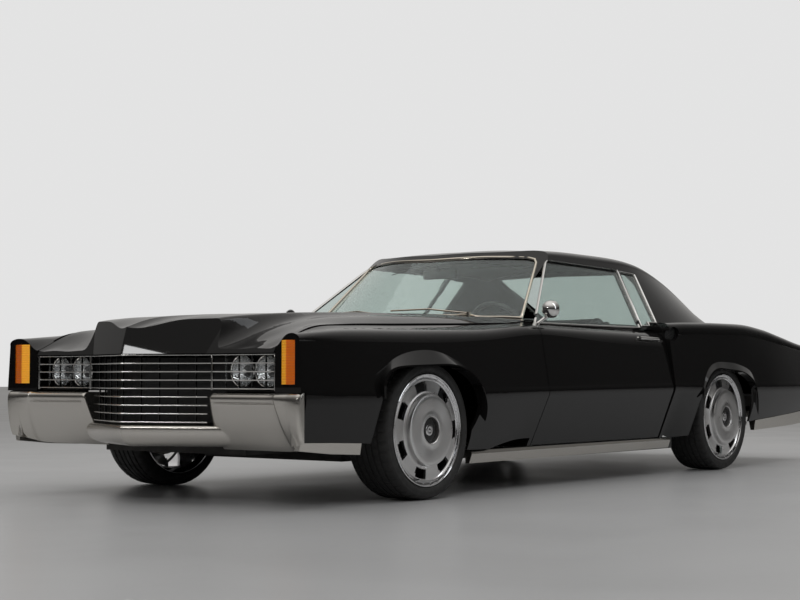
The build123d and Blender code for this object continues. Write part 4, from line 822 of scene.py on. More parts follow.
# x at the lip, slant of x with height, share of the corner's shape, step forward, how far back
RINGS = [(0.412, -0.14, 0.0, 0.012, -0.760), (0.4135, -0.12, 0.0, 0.006, -0.760),
         (0.420, -0.06, 0.0, 0.002, -0.760),
         (0.430, 0.20, 0.0, 0.0, -0.760), (0.445, 0.20, 0.0, 0.0, -0.760),
         (0.520, 0.10, 0.0, 0.0, -0.760),
         (0.620, 0.0, 0.0, -0.001, -0.760), (0.700, 0.0, 0.0, -0.003, -0.760),
         (0.755, 0.0, 0.0, -0.004, -0.760),
         (0.776, 0.05, 0.02, -0.005, -0.760), (0.800, 0.14, 0.10, -0.006, -0.760),
         (0.808, 0.16, 0.22, -0.008, -0.760),
         (0.820, 0.16, 0.34, -0.006, -0.760), (0.850, 0.12, 0.52, -0.003, -0.760),
         (0.878, 0.05, 0.68, 0.0, -0.760),
         (0.8865, 0.0, 0.72, 0.0, BUMPER_BACK), (0.915, 0.0, 0.86, 0.0, BUMPER_BACK),
         (0.940, 0.0, 0.97, 0.0, BUMPER_BACK),
         (0.950, 0.0, 1.0, 0.003, BUMPER_BACK), (0.9555, 0.0, 1.0, 0.010, BUMPER_BACK),
         (0.957, 0.0, 1.0, 0.018, BUMPER_BACK)]


def wing_section(sign, x, slant, share, forward, back):
    """Front of the wing as a smooth line, closed by a flat back."""
    points = []
    for number, (w, c) in enumerate(zip(WING, CORNER)):
        s = w[0] + (c[0] - w[0]) * share + forward
        z = w[1] + (c[1] - w[1]) * share
        dip = 0.0028 if number in GROOVE and 0.445 <= x <= 0.776 else 0.0
        points.append((x + slant * (0.479 - z), min(s + dip, back), z))
    line = rounded_line(points, 3)
    line = [(p[0], min(p[1], back), p[2]) for p in line]
    top, foot = line[0], line[-1]
    line = [(top[0], max(top[1], back), top[2] - 0.002)] + line + [(foot[0], max(foot[1], back),
                                                                    foot[2] + 0.001)]
    return [(sign * a, at(s), z) for a, s, z in line]


front_parts = []
for side, sign in SIDES:
    sections = [wing_section(sign, *ring) for ring in RINGS]
    smooth_sections = [[tuple(p) for p in row] for row in zip(*[rounded_line(column, 3) for column in zip(*sections)])]
    front_parts.append(loft_sections(f"wing_{side}", smooth_sections, SATIN, "body"))


print("ready: wings")

# %% Centre bar
NOSE_BAR = [(-0.935, 0.357), (-1.030, 0.358), (-1.049, 0.356), (-1.0575, 0.349), (-1.0595, 0.336),
            (-1.056, 0.318),
            (-1.047, 0.299), (-1.032, 0.281), (-1.012, 0.268), (-0.985, 0.260), (-0.935, 0.258)]
SWEEP_BACK = 0.437
sections = []
for x in (-0.478, -0.36, -0.24, -0.12, -0.02, 0.0, 0.02, 0.12, 0.24, 0.36, 0.478):
    line = rounded_line(NOSE_BAR, 3)
    sections.append([(x, at(s + SWEEP_BACK * abs(x)), z) for s, z in line])
front_parts.append(loft_sections("centre", sections, SATIN, "body", smooth=20))
bumper = joined("front_bumper_skin", front_parts)
bumper.data.set_sharp_from_angle(angle=math.radians(24))
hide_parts("front_bumper")
print("front bumper:", len(bumper.data.polygons), "faces")

# %% [markdown]
# ## Grille
# The grille is the car's finest work: nine thin level bars in a V, with even thinner
# upright slats behind their faces. The level bars carry a rounded bright moulding that
# catches the light from above. The slats and every face away from a bar's line get a darkened
# copy of the chrome, painted shade between the bars, so the eye reads lines.

# %% Grille mouldings
SHADED_GRILLE_CHROME, tree, shader = new_material("grille_chrome_painted_shade", (0.20, 0.20, 0.20), 0.2, 1.0)
vary(tree, shader, "Roughness", object_noise(tree, 60), 0.15, 0.28)
BAR_TOP_Z = 0.671
BAR_PITCH = 0.0375
mesh = NODES["grille"].data
mesh.materials.append(SHADED_GRILLE_CHROME)
# Painted shade: grille faces more than a few millimetres from a bar's line, the slats among them, take the darkened
# chrome.
for face in mesh.polygons:
    height = (BAR_TOP_Z - (NODES["grille"].matrix_world @ face.center).z) / BAR_PITCH
    if abs(height - round(height)) * BAR_PITCH > 0.0026:
        face.material_index = 1
GRILLE_PATH = [(0.0, -1.055), (0.373, -0.884), (0.783, -0.882)]
mouldings = []
for row in range(9):
    z = BAR_TOP_Z - row * BAR_PITCH
    path = GRILLE_PATH if row < 5 else GRILLE_PATH[:2]
    plan = [(-x, s) for x, s in reversed(path[1:])] + path
    section = [(0.0030 * math.sin(math.pi * k / 6),
                0.0031 * math.cos(math.pi * k / 6)) for k in range(7)]
    verts = []
    for i, (x, s) in enumerate(plan):
        for out, up in section:
            verts.append((x, at(s - out - 0.0004), z + up))
    faces = grid_faces(len(plan), 7, close_columns=True)
    mouldings.append(finish_piece("bar", verts, faces, BRIGHT, "body", smooth=50))
piece = joined("grille_mouldings", mouldings)
print("ready: grille mouldings")

# %% [markdown]
# ## Headlamps
# Each pair of round lamps sits in a dark recess behind the grille's side bars. A lamp is
# three parts: a bright faceted bowl with a small bulb in it, a thin bright ring, and a
# clear bulging lens in front. All three are turned on the lamp's own axis.

# %% Headlamps
LAMP_X = (0.529, 0.677)
LAMP_Z = 0.598
LAMP_Y = at(-0.822)
for side, sign in SIDES:
    for number, x in enumerate(LAMP_X):
        centre = Vector((sign * x, LAMP_Y, LAMP_Z))
        forward = (0, -1, 0)
        bowl = [(-0.036 + 0.036 * (r / 0.066) ** 2,
                 max(r, 0.0001)) for r in (0.0, 0.012, 0.024, 0.036, 0.048, 0.058, 0.066)]
        bowl += [(-0.002, 0.068), (-0.040, 0.060), (-0.0415, 0.0001)]
        inner = [lathe("bowl", bowl, centre, forward, REFLECTOR, "body", steps=48)]
        bulb = [(-0.034, 0.0001), (-0.034, 0.007), (-0.020, 0.007), (-0.016, 0.009),
                (-0.009, 0.009), (-0.004, 0.006),
                (-0.003, 0.0001)]
        inner.append(lathe("bulb", bulb, centre, forward, BRIGHT, "body", steps=24))
        ring = [(-0.004, 0.0680), (0.003, 0.0672), (0.0055, 0.0700), (0.003, 0.0726),
                (-0.004, 0.0730)]
        inner.append(lathe("ring", ring, centre, forward, BRIGHT, "body", steps=64, closed=True))
        unit = joined(f"lamp_bowl_{side}_{number + 1}", inner)
        dome = [(0.012 * (1 - (r / 0.067) ** 2) - 0.001,
                 max(r, 0.0001)) for r in np.linspace(0, 0.067, 10)]
        dome += [(a - 0.003, r) for a, r in reversed(dome)]
        lens = lathe(f"lamp_lens_{side}_{number + 1}", dome, centre, forward, CLEAR_GLASS, "body",
                     steps=64)
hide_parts("headlamps")

# %% [markdown]
# ## Behind the grille
# Between the bars the real car is black: a core, a fan shroud and painted walls. Black
# plates close the gaps round the lamps, and the cooling core gets its fins, so that the
# bright bars read against something dark.

# %% Lamp recess and core
for side, sign in SIDES:
    x0, x1 = sorted((sign * 0.445, sign * 0.776))
    block(f"lamp_back_{side}", (x0, x1), (LAMP_Y + 0.030, LAMP_Y + 0.040), (0.512, 0.668),
          BLACK_PLASTIC, "body", 0.001)
    x0, x1 = sorted((sign * 0.455, sign * 0.774))
    block(f"lamp_shelf_{side}", (x0, x1), (at(-0.862), LAMP_Y + 0.030), (0.5085, 0.5120),
          BLACK_PLASTIC, "body", 0.0008)
fins = []
for k in range(23):
    z = 0.372 + 0.0125 * k
    fins.append(block("fin", (-0.325, 0.325), (at(-0.7505), at(-0.7455)), (z, z + 0.003), IRON,
                      "body", 0.0))
joined("core_fins", fins)
print("ready: lamp recess and core")

# %% [markdown]
# ## Lamp posts
# Bright upright posts stand where the nose ends and the lamps begin, and again at the
# outer end. The bumper is made of several pressings, with dark seams between them; only the
# posts are built here.

# %% Posts
for side, sign in SIDES:
    for label, x, s, low, high in (("inner", 0.4005, -0.8868, 0.514, 0.668),
                                   ("outer", 0.7765, -0.8850, 0.514, 0.668)):
        outline = [(sign * (x - 0.0055), at(s)), (sign * x, at(s - 0.0035)),
                   (sign * (x + 0.0055), at(s)),
                   (sign * (x + 0.0055), at(s + 0.0018)), (sign * (x - 0.0055), at(s + 0.0018))]
        prism(f"lamp_post_{label}_{side}", outline, 2, low, high, BRIGHT, "body", 0.0008)
print("ready: posts")

# %% [markdown]
# ## The scoop behind the door
# A small dark oval mouth opens in each quarter just behind the door. Its inside is a black
# plastic grille: a dished plate with three slim blades across it.

# %% Scoop insides
for side, sign in SIDES:
    parts = []
    centre = Vector((sign * 0.9355, at(2.352), 0.822))
    outer, verts = [], []
    for depth, share in ((0.0, 1.0), (0.0008, 0.93), (0.0010, 0.0)):
        for k in range(40):
            turn = 2 * math.pi * k / 40
            along, up = 0.0625 * share * math.cos(turn), 0.0375 * share * math.sin(turn)
            verts.append(centre + Vector((0.0, along * 0.972 - up * 0.233,
                                          along * 0.233 + up * 0.972)) + Vector((sign * depth, 0, 0)))
    parts.append(finish_piece("plate", verts, grid_faces(3, 40, close_columns=True), BLACK_PLASTIC,
                              "body"))
    for row in (-0.016, 0.0, 0.016):
        reach = 0.052 * math.sqrt(1 - (row / 0.036) ** 2)
        a = centre + Vector((sign * 0.003, -reach * 0.972 - row * 0.233,
                             -reach * 0.233 + row * 0.972))
        b = centre + Vector((sign * 0.003, reach * 0.972 - row * 0.233,
                             reach * 0.233 + row * 0.972))
        parts.append(tube("blade", [a, a.lerp(b, 0.5), b], 0.0022, BLACK_PLASTIC, "body", 8))
    joined(f"scoop_grille_{side}", parts)
print("ready: scoop insides")

# %% [markdown]
# ## Door mirror and locks
# The round mirror faces back with a real looking glass in a bright rim, and a small key
# lock sits near each pull handle. All are turned shapes, so each is a short profile spun
# round its own axis. Only the left door has a mirror housing: the right door's glass and
# rim are left over from the loop over both sides and still want taking out.

# %% Mirrors and locks
MIRROR_X, MIRROR_STATION, MIRROR_Z = 0.915, 1.092, 0.925
for side, sign in SIDES:
    body = f"door_{side}"
    centre = Vector((sign * MIRROR_X, at(MIRROR_STATION), MIRROR_Z))
    glass = [(0.0160, 0.0001), (0.0165, 0.0200), (0.0168, 0.0380), (0.0162, 0.0420),
             (0.0150, 0.0001)]
    lathe(f"mirror_glass_{side}", glass, centre, (0, 1, 0), MIRROR, body, steps=48)
    rim_ring = [(0.0155, 0.0415), (0.0175, 0.0425), (0.0178, 0.0445), (0.0155, 0.0458),
                (0.0140, 0.0455)]
    lathe(f"mirror_rim_{side}", rim_ring, centre, (0, 1, 0), BRIGHT, body, steps=48, closed=True)
    key = Vector((sign * 0.9385, at(2.215), 0.782))
    lock = [(0.0, 0.0001), (0.0, 0.0090), (0.0022, 0.0088), (0.0030, 0.0070), (0.0022, 0.0050),
            (0.0026, 0.0001)]
    lathe(f"door_lock_{side}", lock, key, (sign, 0, 0), BRIGHT, body, steps=28)
print("ready: mirrors and locks")

# %% [markdown]
# ## Tail
# Between the tail lamps the panel carries a blank number plate in a bright frame with two
# small lamps above it. Nothing is written on it. Two bright bars run across the panel and
# the lid's lock sits above the plate. They are simple pressed sections, so each is a
# profile drawn in the side view and stretched across the car.

# %% Plate and tail details
TAIL_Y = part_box("tail_panel")[1][1]
PLATE_HALF, PLATE_LOW, PLATE_HIGH = 0.155, 0.505, 0.655


def across(name, low, high, proud, half, material, middle=0.0):
    """A bar across the tail, from z low to high, standing proud of the panel."""
    lip = (high - low) * 0.2
    outline = [(TAIL_Y - 0.002, low), (TAIL_Y + proud * 0.7, low), (TAIL_Y + proud, low + lip),
               (TAIL_Y + proud, high - lip), (TAIL_Y + proud * 0.7, high), (TAIL_Y - 0.002, high)]
    return prism(name, outline, 0, middle - half, middle + half, material, "body", 0.0006)


across("number_plate", PLATE_LOW, PLATE_HIGH, 0.004, PLATE_HALF, WHITE)
frame_parts = [across("rail", PLATE_LOW - 0.008, PLATE_LOW + 0.003, 0.009, PLATE_HALF + 0.008,
                      BRIGHT),
               across("rail", PLATE_HIGH - 0.003, PLATE_HIGH + 0.008, 0.009, PLATE_HALF + 0.008,
                      BRIGHT)]
for sign in (-1, 1):
    frame_parts.append(across("post", PLATE_LOW, PLATE_HIGH, 0.009, 0.005, BRIGHT,
                              sign * (PLATE_HALF + 0.003)))
    across(f"plate_lamp_{'left' if sign > 0 else 'right'}", 0.672, 0.690, 0.014, 0.024, CLEAR_GLASS,
           sign * 0.085)
joined("number_plate_frame", frame_parts)
across("tail_bar_lower", 0.462, 0.474, 0.009, 0.775, BRIGHT)
across("tail_bar_upper", 0.728, 0.738, 0.009, 0.775, BRIGHT)
lock_rings = [(0.0, 0.0001), (0.0, 0.016), (0.005, 0.0155), (0.007, 0.013), (0.005, 0.009),
              (0.006, 0.0001)]
lathe("trunk_lock", lock_rings, Vector((0, TAIL_Y, 0.709)), (0, 1, 0), BRIGHT, "body", steps=32)
print("ready: plate and tail details")

# %% [markdown]
# ## Engine dressing
# Under the hood the heavy block gets a round air cleaner, two valve covers and their
# leads, so it reads as an engine when the hood is up. They sit on the block, below the
# hood's inner face.

# %% Engine dressing
BLOCK_LOW, BLOCK_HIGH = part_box("engine_block")
engine_middle = Vector(((BLOCK_LOW[0] + BLOCK_HIGH[0]) / 2, (BLOCK_LOW[1] + BLOCK_HIGH[1]) / 2,
                        BLOCK_HIGH[2]))
cleaner = [(-0.004, 0.0001), (-0.004, 0.060), (0.004, 0.062), (0.008, 0.150), (0.012, 0.158),
           (0.034, 0.158),
           (0.038, 0.152), (0.040, 0.060), (0.036, 0.030), (0.041, 0.012), (0.041, 0.0001)]
lathe("air_cleaner", cleaner, engine_middle, (0, 0, 1), BLACK_PLASTIC, "body", steps=72)
for side, sign in SIDES:
    x = engine_middle.x + sign * 0.245
    top = BLOCK_HIGH[2]
    outline = [(-1.95, top - 0.004), (-1.95, top + 0.016), (-1.93, top + 0.026),
               (-1.35, top + 0.026),
               (-1.33, top + 0.016), (-1.33, top - 0.004)]
    prism(f"valve_cover_{side}", outline, 0, x - 0.055, x + 0.055, STEEL, "body", 0.004)
    for k in range(4):
        y = -1.86 + 0.15 * k
        lead = [Vector((x - sign * 0.05, y, top + 0.014)), Vector((x - sign * 0.075, y + 0.01,
                                                                   top + 0.018)),
                Vector((x - sign * 0.085, y + 0.03, top + 0.004))]
        tube(f"spark_lead_{side}_{k}", lead, 0.0035, BLACK_PLASTIC, "body")
print("engine dressed on a block topping out at", round(BLOCK_HIGH[2], 3))

# %% [markdown]
# ## Seats
# Seats are soft goods, so they are simulated: a slim box is remeshed into small even faces,
# blown up by a little pressure as cloth, and then the sewn channels are pressed in. The
# left seat's parts are made once and copied to the right as mirror images. How far a point
# may move is capped, so a cushion can't grow out of the seat's own space.

# %% Cushion maker
def cushion(name, centre, size, lean=0.0, swell=0.022, channels=None, voxel=0.013):
    """Crowned closed cushion. channels: (axis, places, depth) of sewn lines on its face."""
    mesh = bpy.data.meshes.new(name)
    shape = bmesh.new()
    bmesh.ops.create_cube(shape, size=1.0)
    shrink = [max(0.6, 1 - 2 * swell * 0.8 / s) for s in size]
    for vert in shape.verts:
        vert.co = Vector([c * s * k for c, s, k in zip(vert.co, size, shrink)])
    bmesh.ops.bevel(shape, geom=list(shape.edges), offset=min(size) * 0.28, segments=4,
                    affect="EDGES", profile=0.5)
    shape.to_mesh(mesh)
    shape.free()
    piece = bpy.data.objects.new(name, mesh)
    bpy.context.scene.collection.objects.link(piece)
    remesh = piece.modifiers.new("remesh", "REMESH")
    remesh.mode = "VOXEL"
    remesh.voxel_size = voxel
    bake(piece)
    start = np.array([v.co for v in piece.data.vertices])
    cloth = piece.modifiers.new("cloth", "CLOTH")
    cloth.settings.use_pressure = True
    cloth.settings.uniform_pressure_force = 4.0
    cloth.settings.effector_weights.gravity = 0.0
    cloth.settings.mass = 0.3
    cloth.settings.tension_stiffness = 12
    cloth.settings.bending_stiffness = 4
    cloth.point_cache.frame_start = 1
    cloth.point_cache.frame_end = 20
    for number in range(1, 21):
        bpy.context.scene.frame_set(number)
    bake(piece)
    bpy.context.scene.frame_set(1)
    points = np.array([v.co for v in piece.data.vertices])
    move = points - start
    far = np.linalg.norm(move, axis=1, keepdims=True)
    points = start + move * np.minimum(1.0, swell / np.maximum(far, 1e-9))
    half = np.array(size) / 2
    points = np.clip(points, -half, half)
    piece.data.vertices.foreach_set("co", points.astype(np.float32).ravel())
    smoother = piece.modifiers.new("smooth", "SUBSURF")
    smoother.levels = smoother.render_levels = 1
    bake(piece)
    press_seams(piece.data, channels or (), half)
    turn = Matrix.Rotation(lean, 4, "X")
    piece.data.transform(Matrix.Translation(Vector(centre)) @ turn)
    piece.data.materials.append(LEATHER)
    piece.data.shade_smooth()
    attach(piece, "body")
    return piece


def bake(piece):
    """Turn what the modifiers make into the piece's own mesh."""
    depsgraph = bpy.context.evaluated_depsgraph_get()
    made = bpy.data.meshes.new_from_object(piece.evaluated_get(depsgraph))
    old = piece.data
    piece.modifiers.clear()
    piece.data = made
    made.name = piece.name
    bpy.data.meshes.remove(old)


def press_seams(mesh, channels, half):
    """Press lines into a cushion: points near a line move towards the cushion's heart."""
    points = np.array([v.co for v in mesh.vertices])
    normals = np.array([v.normal for v in mesh.vertices])
    for axis, places, depth in channels:
        for place in places:
            near = np.exp(-((points[:, axis] - place) / 0.006) ** 2)
            points -= normals * (near * depth)[:, None]
    edge = np.exp(-(points[:, 2] / 0.006) ** 2) if half[2] < half[1] else np.exp(-(points[:, 1] / 0.006) ** 2)
    points -= normals * (edge * 0.003)[:, None]
    mesh.vertices.foreach_set("co", points.astype(np.float32).ravel())


def mirrored(piece, name):
    mesh = piece.data.copy()
    mesh.transform(Matrix.Scale(-1, 4, (1, 0, 0)))
    mesh.flip_normals()
    twin = bpy.data.objects.new(name, mesh)
    bpy.context.scene.collection.objects.link(twin)
    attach(twin, "body")
    return twin


print("ready: cushion maker")


# %% Front seats
SEAT_X = 0.380
cross = (-0.12, -0.06, 0.0, 0.06, 0.12)
pads = [
    cushion("seat_cushion_left", (SEAT_X, at(1.850), 0.420), (0.52, 0.43, 0.15), math.radians(4),
            channels=((0, (-0.17, 0.17), 0.008), (1, cross, 0.005))),
    cushion("seat_back_left", (SEAT_X, at(2.132), 0.698), (0.50, 0.115, 0.51), math.radians(-7),
            channels=((0, (-0.16, 0.16), 0.007), (2, (-0.14, -0.07, 0.0, 0.07, 0.14), 0.005))),
]
for piece in pads:
    mirrored(piece, piece.name.replace("left", "right"))
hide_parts("front_seats")
for side, sign in SIDES:
    x0, x1 = sorted((sign * 0.14, sign * 0.62))
    shell = [prism("base", [(at(1.66), 0.215), (at(2.10), 0.215), (at(2.14), 0.345),
                            (at(1.65), 0.330)], 0, x0, x1,
                   BLACK_PLASTIC, "body", 0.012)]
    shell.append(prism("shell", [(at(2.172), 0.44), (at(2.196), 0.44), (at(2.236), 0.88),
                                 (at(2.205), 0.90)], 0,
                       x0 + 0.01, x1 - 0.01, LEATHER, "body", 0.01))
    joined(f"seat_frame_{side}", shell)
print("ready: front seats")

# %% Rear seat
ribs = (-0.40, -0.30, -0.20, 0.20, 0.30, 0.40)
bench = cushion("rear_seat_cushion", (0, behind(-0.545), 0.410), (1.22, 0.42, 0.15),
                math.radians(5),
                channels=((0, ribs + (-0.06, 0.06), 0.006),), voxel=0.016)
cushion("rear_seat_back", (0, behind(-0.195), 0.655), (1.22, 0.12, 0.41), math.radians(-12),
        channels=((0, ribs + (-0.06, 0.06), 0.006),), voxel=0.016)
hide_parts("rear_seat")
block("rear_seat_base", (-0.60, 0.60), (behind(-0.735), behind(-0.36)), (0.215, 0.335), CARPET,
      "body", 0.01)
print("seats done")

# %% [markdown]
# ## Dashboard, wheel and console
# The dashboard's solid is the padded body. On it go a hooded cluster with two dials, a
# wooden strip with a bright edge, vents and three plain knobs. The steering
# wheel gets a padded hub. A low console with a shift lever runs between the seats.

# %% Dashboard
dash = []
dash_face = at(1.296)
dash.append(block("strip", (-0.70, 0.70), (dash_face, dash_face + 0.008), (0.735, 0.775), WOOD,
                  "body", 0.002))
dash.append(block("edge", (-0.70, 0.70), (dash_face + 0.002, dash_face + 0.010), (0.777, 0.781),
                  BRIGHT, "body", 0.001))
for x in (-0.60, -0.08, 0.08, 0.62):
    for k in range(4):
        z = 0.690 + 0.009 * k
        dash.append(block("vent", (x - 0.045, x + 0.045), (dash_face - 0.004, dash_face + 0.004),
                          (z, z + 0.004),
                          BLACK_PLASTIC, "body", 0.001))
for k, x in enumerate((-0.05, 0.0, 0.05)):
    knob = [(0.0, 0.0001), (0.0, 0.011), (0.012, 0.010), (0.014, 0.007), (0.014, 0.0001)]
    dash.append(lathe("knob", knob, (x, dash_face - 0.001, 0.655), (0, 1, 0), BRIGHT, "body", 24))
joined("dashboard_trim", dash)
cluster = [prism("hood", [(at(1.20), 0.835), (at(1.322), 0.872), (at(1.330), 0.866),
                          (at(1.305), 0.800), (at(1.20), 0.80)], 0,
                 0.20, 0.56, LEATHER, "body", 0.008)]
for x in (0.295, 0.465):
    centre = Vector((x, at(1.318), 0.826))
    ring = [(0.0, 0.0385), (0.006, 0.0390), (0.007, 0.0410), (0.0, 0.0425)]
    cluster.append(lathe("ring", ring, centre, (0, 1, 0), BRIGHT, "body", 48, closed=True))
    cluster.append(lathe("face", [(0.0, 0.0001), (0.002, 0.02), (0.002, 0.0385), (-0.002, 0.0385)],
                         centre, (0, 1, 0), DIAL, "body", 48))
    for k in range(11):
        turn = math.radians(-40 + 26 * k)
        mark = centre + Vector((-0.031 * math.cos(turn), 0.003, 0.031 * math.sin(turn)))
        tip = centre + Vector((-0.036 * math.cos(turn), 0.003, 0.036 * math.sin(turn)))
        cluster.append(tube("mark", [mark, tip], 0.0008, WHITE, "body", 6))
    cluster.append(tube("needle", [centre + Vector((0, 0.004, 0)),
                                   centre + Vector((-0.020, 0.004, -0.016))], 0.001, WHITE, "body",
                                   6))
joined("instrument_cluster", cluster)
print("ready: dashboard")

# %% Steering wheel pad
WHEEL_HUB = Vector((0.380, at(1.400), 0.815))
RAKE = math.radians(25)
column_axis = Vector((0, math.cos(RAKE), math.sin(RAKE)))
pad = [(0.012, 0.0001), (0.030, 0.020), (0.031, 0.036), (0.026, 0.048), (0.012, 0.054),
       (-0.010, 0.052), (-0.010, 0.0001)]
hub_pad = lathe("steering_hub_pad", pad, WHEEL_HUB, column_axis, LEATHER, "steering_wheel", 40)
inlay = [(0.0300, 0.0001), (0.0335, 0.008), (0.0315, 0.0175), (0.0300, 0.0185)]
lathe("steering_hub_inlay", inlay, WHEEL_HUB, column_axis, BRIGHT, "steering_wheel", 32)
print("ready: steering wheel pad")

# %% Console and shift lever
console = [prism("tunnel", [(at(1.31), 0.215), (at(2.05), 0.215), (at(2.05), 0.40),
                            (at(1.80), 0.42), (at(1.50), 0.40),
                            (at(1.33), 0.52), (at(1.31), 0.52)], 0, -0.095, 0.095, LEATHER, "body",
                            0.012)]
console.append(block("plate", (-0.055, 0.055), (at(1.46), at(1.66)), (0.408, 0.416), WOOD, "body",
                     0.003))
console.append(tube("lever", [(0.0, at(1.58), 0.41), (0.0, at(1.575), 0.47),
                              (0.0, at(1.56), 0.515)], 0.006, BRIGHT, "body"))
knob = [(-0.022, 0.0001), (-0.020, 0.012), (-0.006, 0.020), (0.010, 0.019), (0.020, 0.010),
        (0.023, 0.0001)]
console.append(lathe("knob", knob, (0.0, at(1.553), 0.530), (0, -0.3, 1), LEATHER, "body", 28))
joined("console", console)
print("ready: console and shift lever")

# %% [markdown]
# ## Doors, ceiling, mirror and carpets
# Each door has a trim panel with an armrest and a bright pull. The ceiling is a woven cloth
# that follows the roof's inside; two sun visors and the mirror hang from it.

# %% Door trims
for side, sign in SIDES:
    body = f"door_{side}"
    inner = sign * 0.7985
    parts = []
    x0, x1 = sorted((inner, inner - sign * 0.010))
    outline = [(at(1.02), 0.26), (at(2.20), 0.26), (at(2.20), 0.83), (at(1.02), 0.83)]
    parts.append(prism("panel", outline, 0, x0, x1, LEATHER, body, 0.006))
    x0, x1 = sorted((inner - sign * 0.010, inner - sign * 0.058))
    arm = [(at(1.42), 0.560), (at(2.06), 0.560), (at(2.08), 0.600), (at(2.00), 0.622),
           (at(1.46), 0.622), (at(1.40), 0.600)]
    parts.append(prism("armrest", arm, 0, x0, x1, LEATHER, body, 0.012))
    x0, x1 = sorted((inner - sign * 0.010, inner - sign * 0.014))
    parts.append(prism("strip", [(at(1.06), 0.700), (at(2.16), 0.700), (at(2.16), 0.735),
                                 (at(1.06), 0.735)], 0, x0, x1,
                       WOOD, body, 0.0015))
    grip = [(inner - sign * 0.010, at(1.34), 0.66), (inner - sign * 0.034, at(1.36), 0.66),
            (inner - sign * 0.034, at(1.46), 0.66),
            (inner - sign * 0.010, at(1.48), 0.66)]
    parts.append(tube("pull", grip, 0.005, BRIGHT, body))
    piece = joined(f"door_trim_{side}", parts)
print("ready: door trims")

# %% Ceiling
# Height of the roof's skin at the middle and its fall towards the sides, over stations.
CEILING = [(1.49, 1.225, 0.45), (1.60, 1.245, 0.47), (1.80, 1.262, 0.485), (2.00, 1.268, 0.49),
           (2.20, 1.266, 0.49),
           (2.40, 1.255, 0.48), (2.52, 1.240, 0.47)]
verts = []
for lift in (0.0, 0.004):
    for s, z, half in CEILING:
        for k in range(17):
            u = -1 + k / 8
            verts.append((half * u, at(s), z - 0.050 * abs(u) ** 2.6 - lift))
rows, columns = len(CEILING), 17
faces = grid_faces(rows, columns) + [tuple(i + rows * columns for i in reversed(f)) for f in grid_faces(rows, columns)]
ring = [i for i in range(columns)] + [r * columns + columns - 1 for r in range(1, rows)]
ring += [(rows - 1) * columns + c for c in range(columns - 2, -1,
                                                 -1)] + [r * columns for r in range(rows - 2, 0, -1)]
faces += [(a, b, b + rows * columns, a + rows * columns) for a, b in zip(ring, ring[1:] + ring[:1])]
finish_piece("headlining", verts, faces, HEADLINING, "body")
for side, sign in SIDES:
    x0, x1 = sorted((sign * 0.12, sign * 0.47))
    prism(f"sun_visor_{side}", [(at(1.500), 1.196), (at(1.512), 1.200), (at(1.640), 1.214),
                                (at(1.640), 1.206), (at(1.512), 1.190)],
          0, x0, x1, HEADLINING, "body", 0.004)
mirror = [prism("shell", [(at(1.352), 1.130), (at(1.352), 1.176), (at(1.372), 1.180),
                          (at(1.378), 1.153), (at(1.372), 1.126)], 0,
                -0.115, 0.115, BLACK_PLASTIC, "body", 0.006)]
mirror.append(block("glass", (-0.108, 0.108), (at(1.3755), at(1.3790)), (1.133, 1.173), MIRROR,
                    "body", 0.001))
mirror.append(tube("arm", [(0, at(1.356), 1.165), (0, at(1.340), 1.190), (0, at(1.338), 1.205)],
                   0.006, BLACK_PLASTIC, "body"))
joined("interior_mirror", mirror)
block("carpet_mats", (-0.60, 0.60), (at(1.15), at(1.62)), (0.2045, 0.2110), CARPET, "body", 0.004)
print("cabin dressed")

# %% [markdown]
# ## Studio
# The floor is a smooth grey slab that mirrors the car a little. What the camera sees behind
# is a pale wall; the paint sees a room that is dim at the horizon and bright above, with
# long soft boxes over the car. That gives black paint its dark sides and lighter tops.

# %% Floor
FLOOR_GREY = (0.30, 0.30, 0.30)
floor_mesh = bpy.data.meshes.new("floor")
FLOOR_HALF = 60
floor_corners = [(x * FLOOR_HALF, y * FLOOR_HALF, 0) for x, y in ((-1, -1), (1, -1), (1, 1),
                                                                  (-1, 1))]
floor_mesh.from_pydata(floor_corners, [], [(0, 1, 2, 3)])
floor = bpy.data.objects.new("floor", floor_mesh)
bpy.context.scene.collection.objects.link(floor)
floor_finish, tree, shader = new_material("studio_floor", FLOOR_GREY, 0.32, specular_ior_level=0.25)
vary(tree, shader, "Roughness", object_noise(tree, 1.2, 5), 0.28, 0.36)
floor_mesh.materials.append(floor_finish)
print("ready: floor")

# %% Room light
world = bpy.data.worlds.new("studio")
bpy.context.scene.world = world
world.use_nodes = True
tree = world.node_tree
tree.nodes.clear()
out = add(tree, "ShaderNodeOutputWorld")
seen = add(tree, "ShaderNodeBackground", Color=(0.77, 0.77, 0.77, 1), Strength=1.0)
lit = add(tree, "ShaderNodeBackground", Strength=1.0)
ray = add(tree, "ShaderNodeLightPath")
direct = add(tree, "ShaderNodeMath", operation="MAXIMUM")
choose = add(tree, "ShaderNodeMixShader")
tree.links.new(ray.outputs["Is Camera Ray"], direct.inputs[0])
tree.links.new(ray.outputs["Is Transmission Ray"], direct.inputs[1])
tree.links.new(direct.outputs["Value"], choose.inputs["Fac"])
tree.links.new(lit.outputs["Background"], choose.inputs[1])
tree.links.new(seen.outputs["Background"], choose.inputs[2])
tree.links.new(choose.outputs["Shader"], out.inputs["Surface"])
direction = add(tree, "ShaderNodeTexCoord")
split = add(tree, "ShaderNodeSeparateXYZ")
tree.links.new(direction.outputs["Generated"], split.inputs["Vector"])


def sky_ramp(stops):
    """Brightness of the room by height, from the horizon up."""
    ramp = add(tree, "ShaderNodeValToRGB")
    tree.links.new(split.outputs["Z"], ramp.inputs["Fac"])
    for position, value in stops:
        if position in (0.0, 1.0):
            stop = ramp.color_ramp.elements[0 if position == 0.0 else -1]
        else:
            stop = ramp.color_ramp.elements.new(position)
        stop.position = position
        stop.color = (value, value * 0.98, value * 0.955, 1)
    return ramp


dim_side = sky_ramp(((0.0, 0.02), (0.25, 0.05), (0.55, 0.25), (0.80, 0.65), (1.0, 0.80)))
pale_side = sky_ramp(((0.0, 0.32), (0.15, 0.42), (0.40, 0.55), (0.80, 0.70), (1.0, 0.80)))
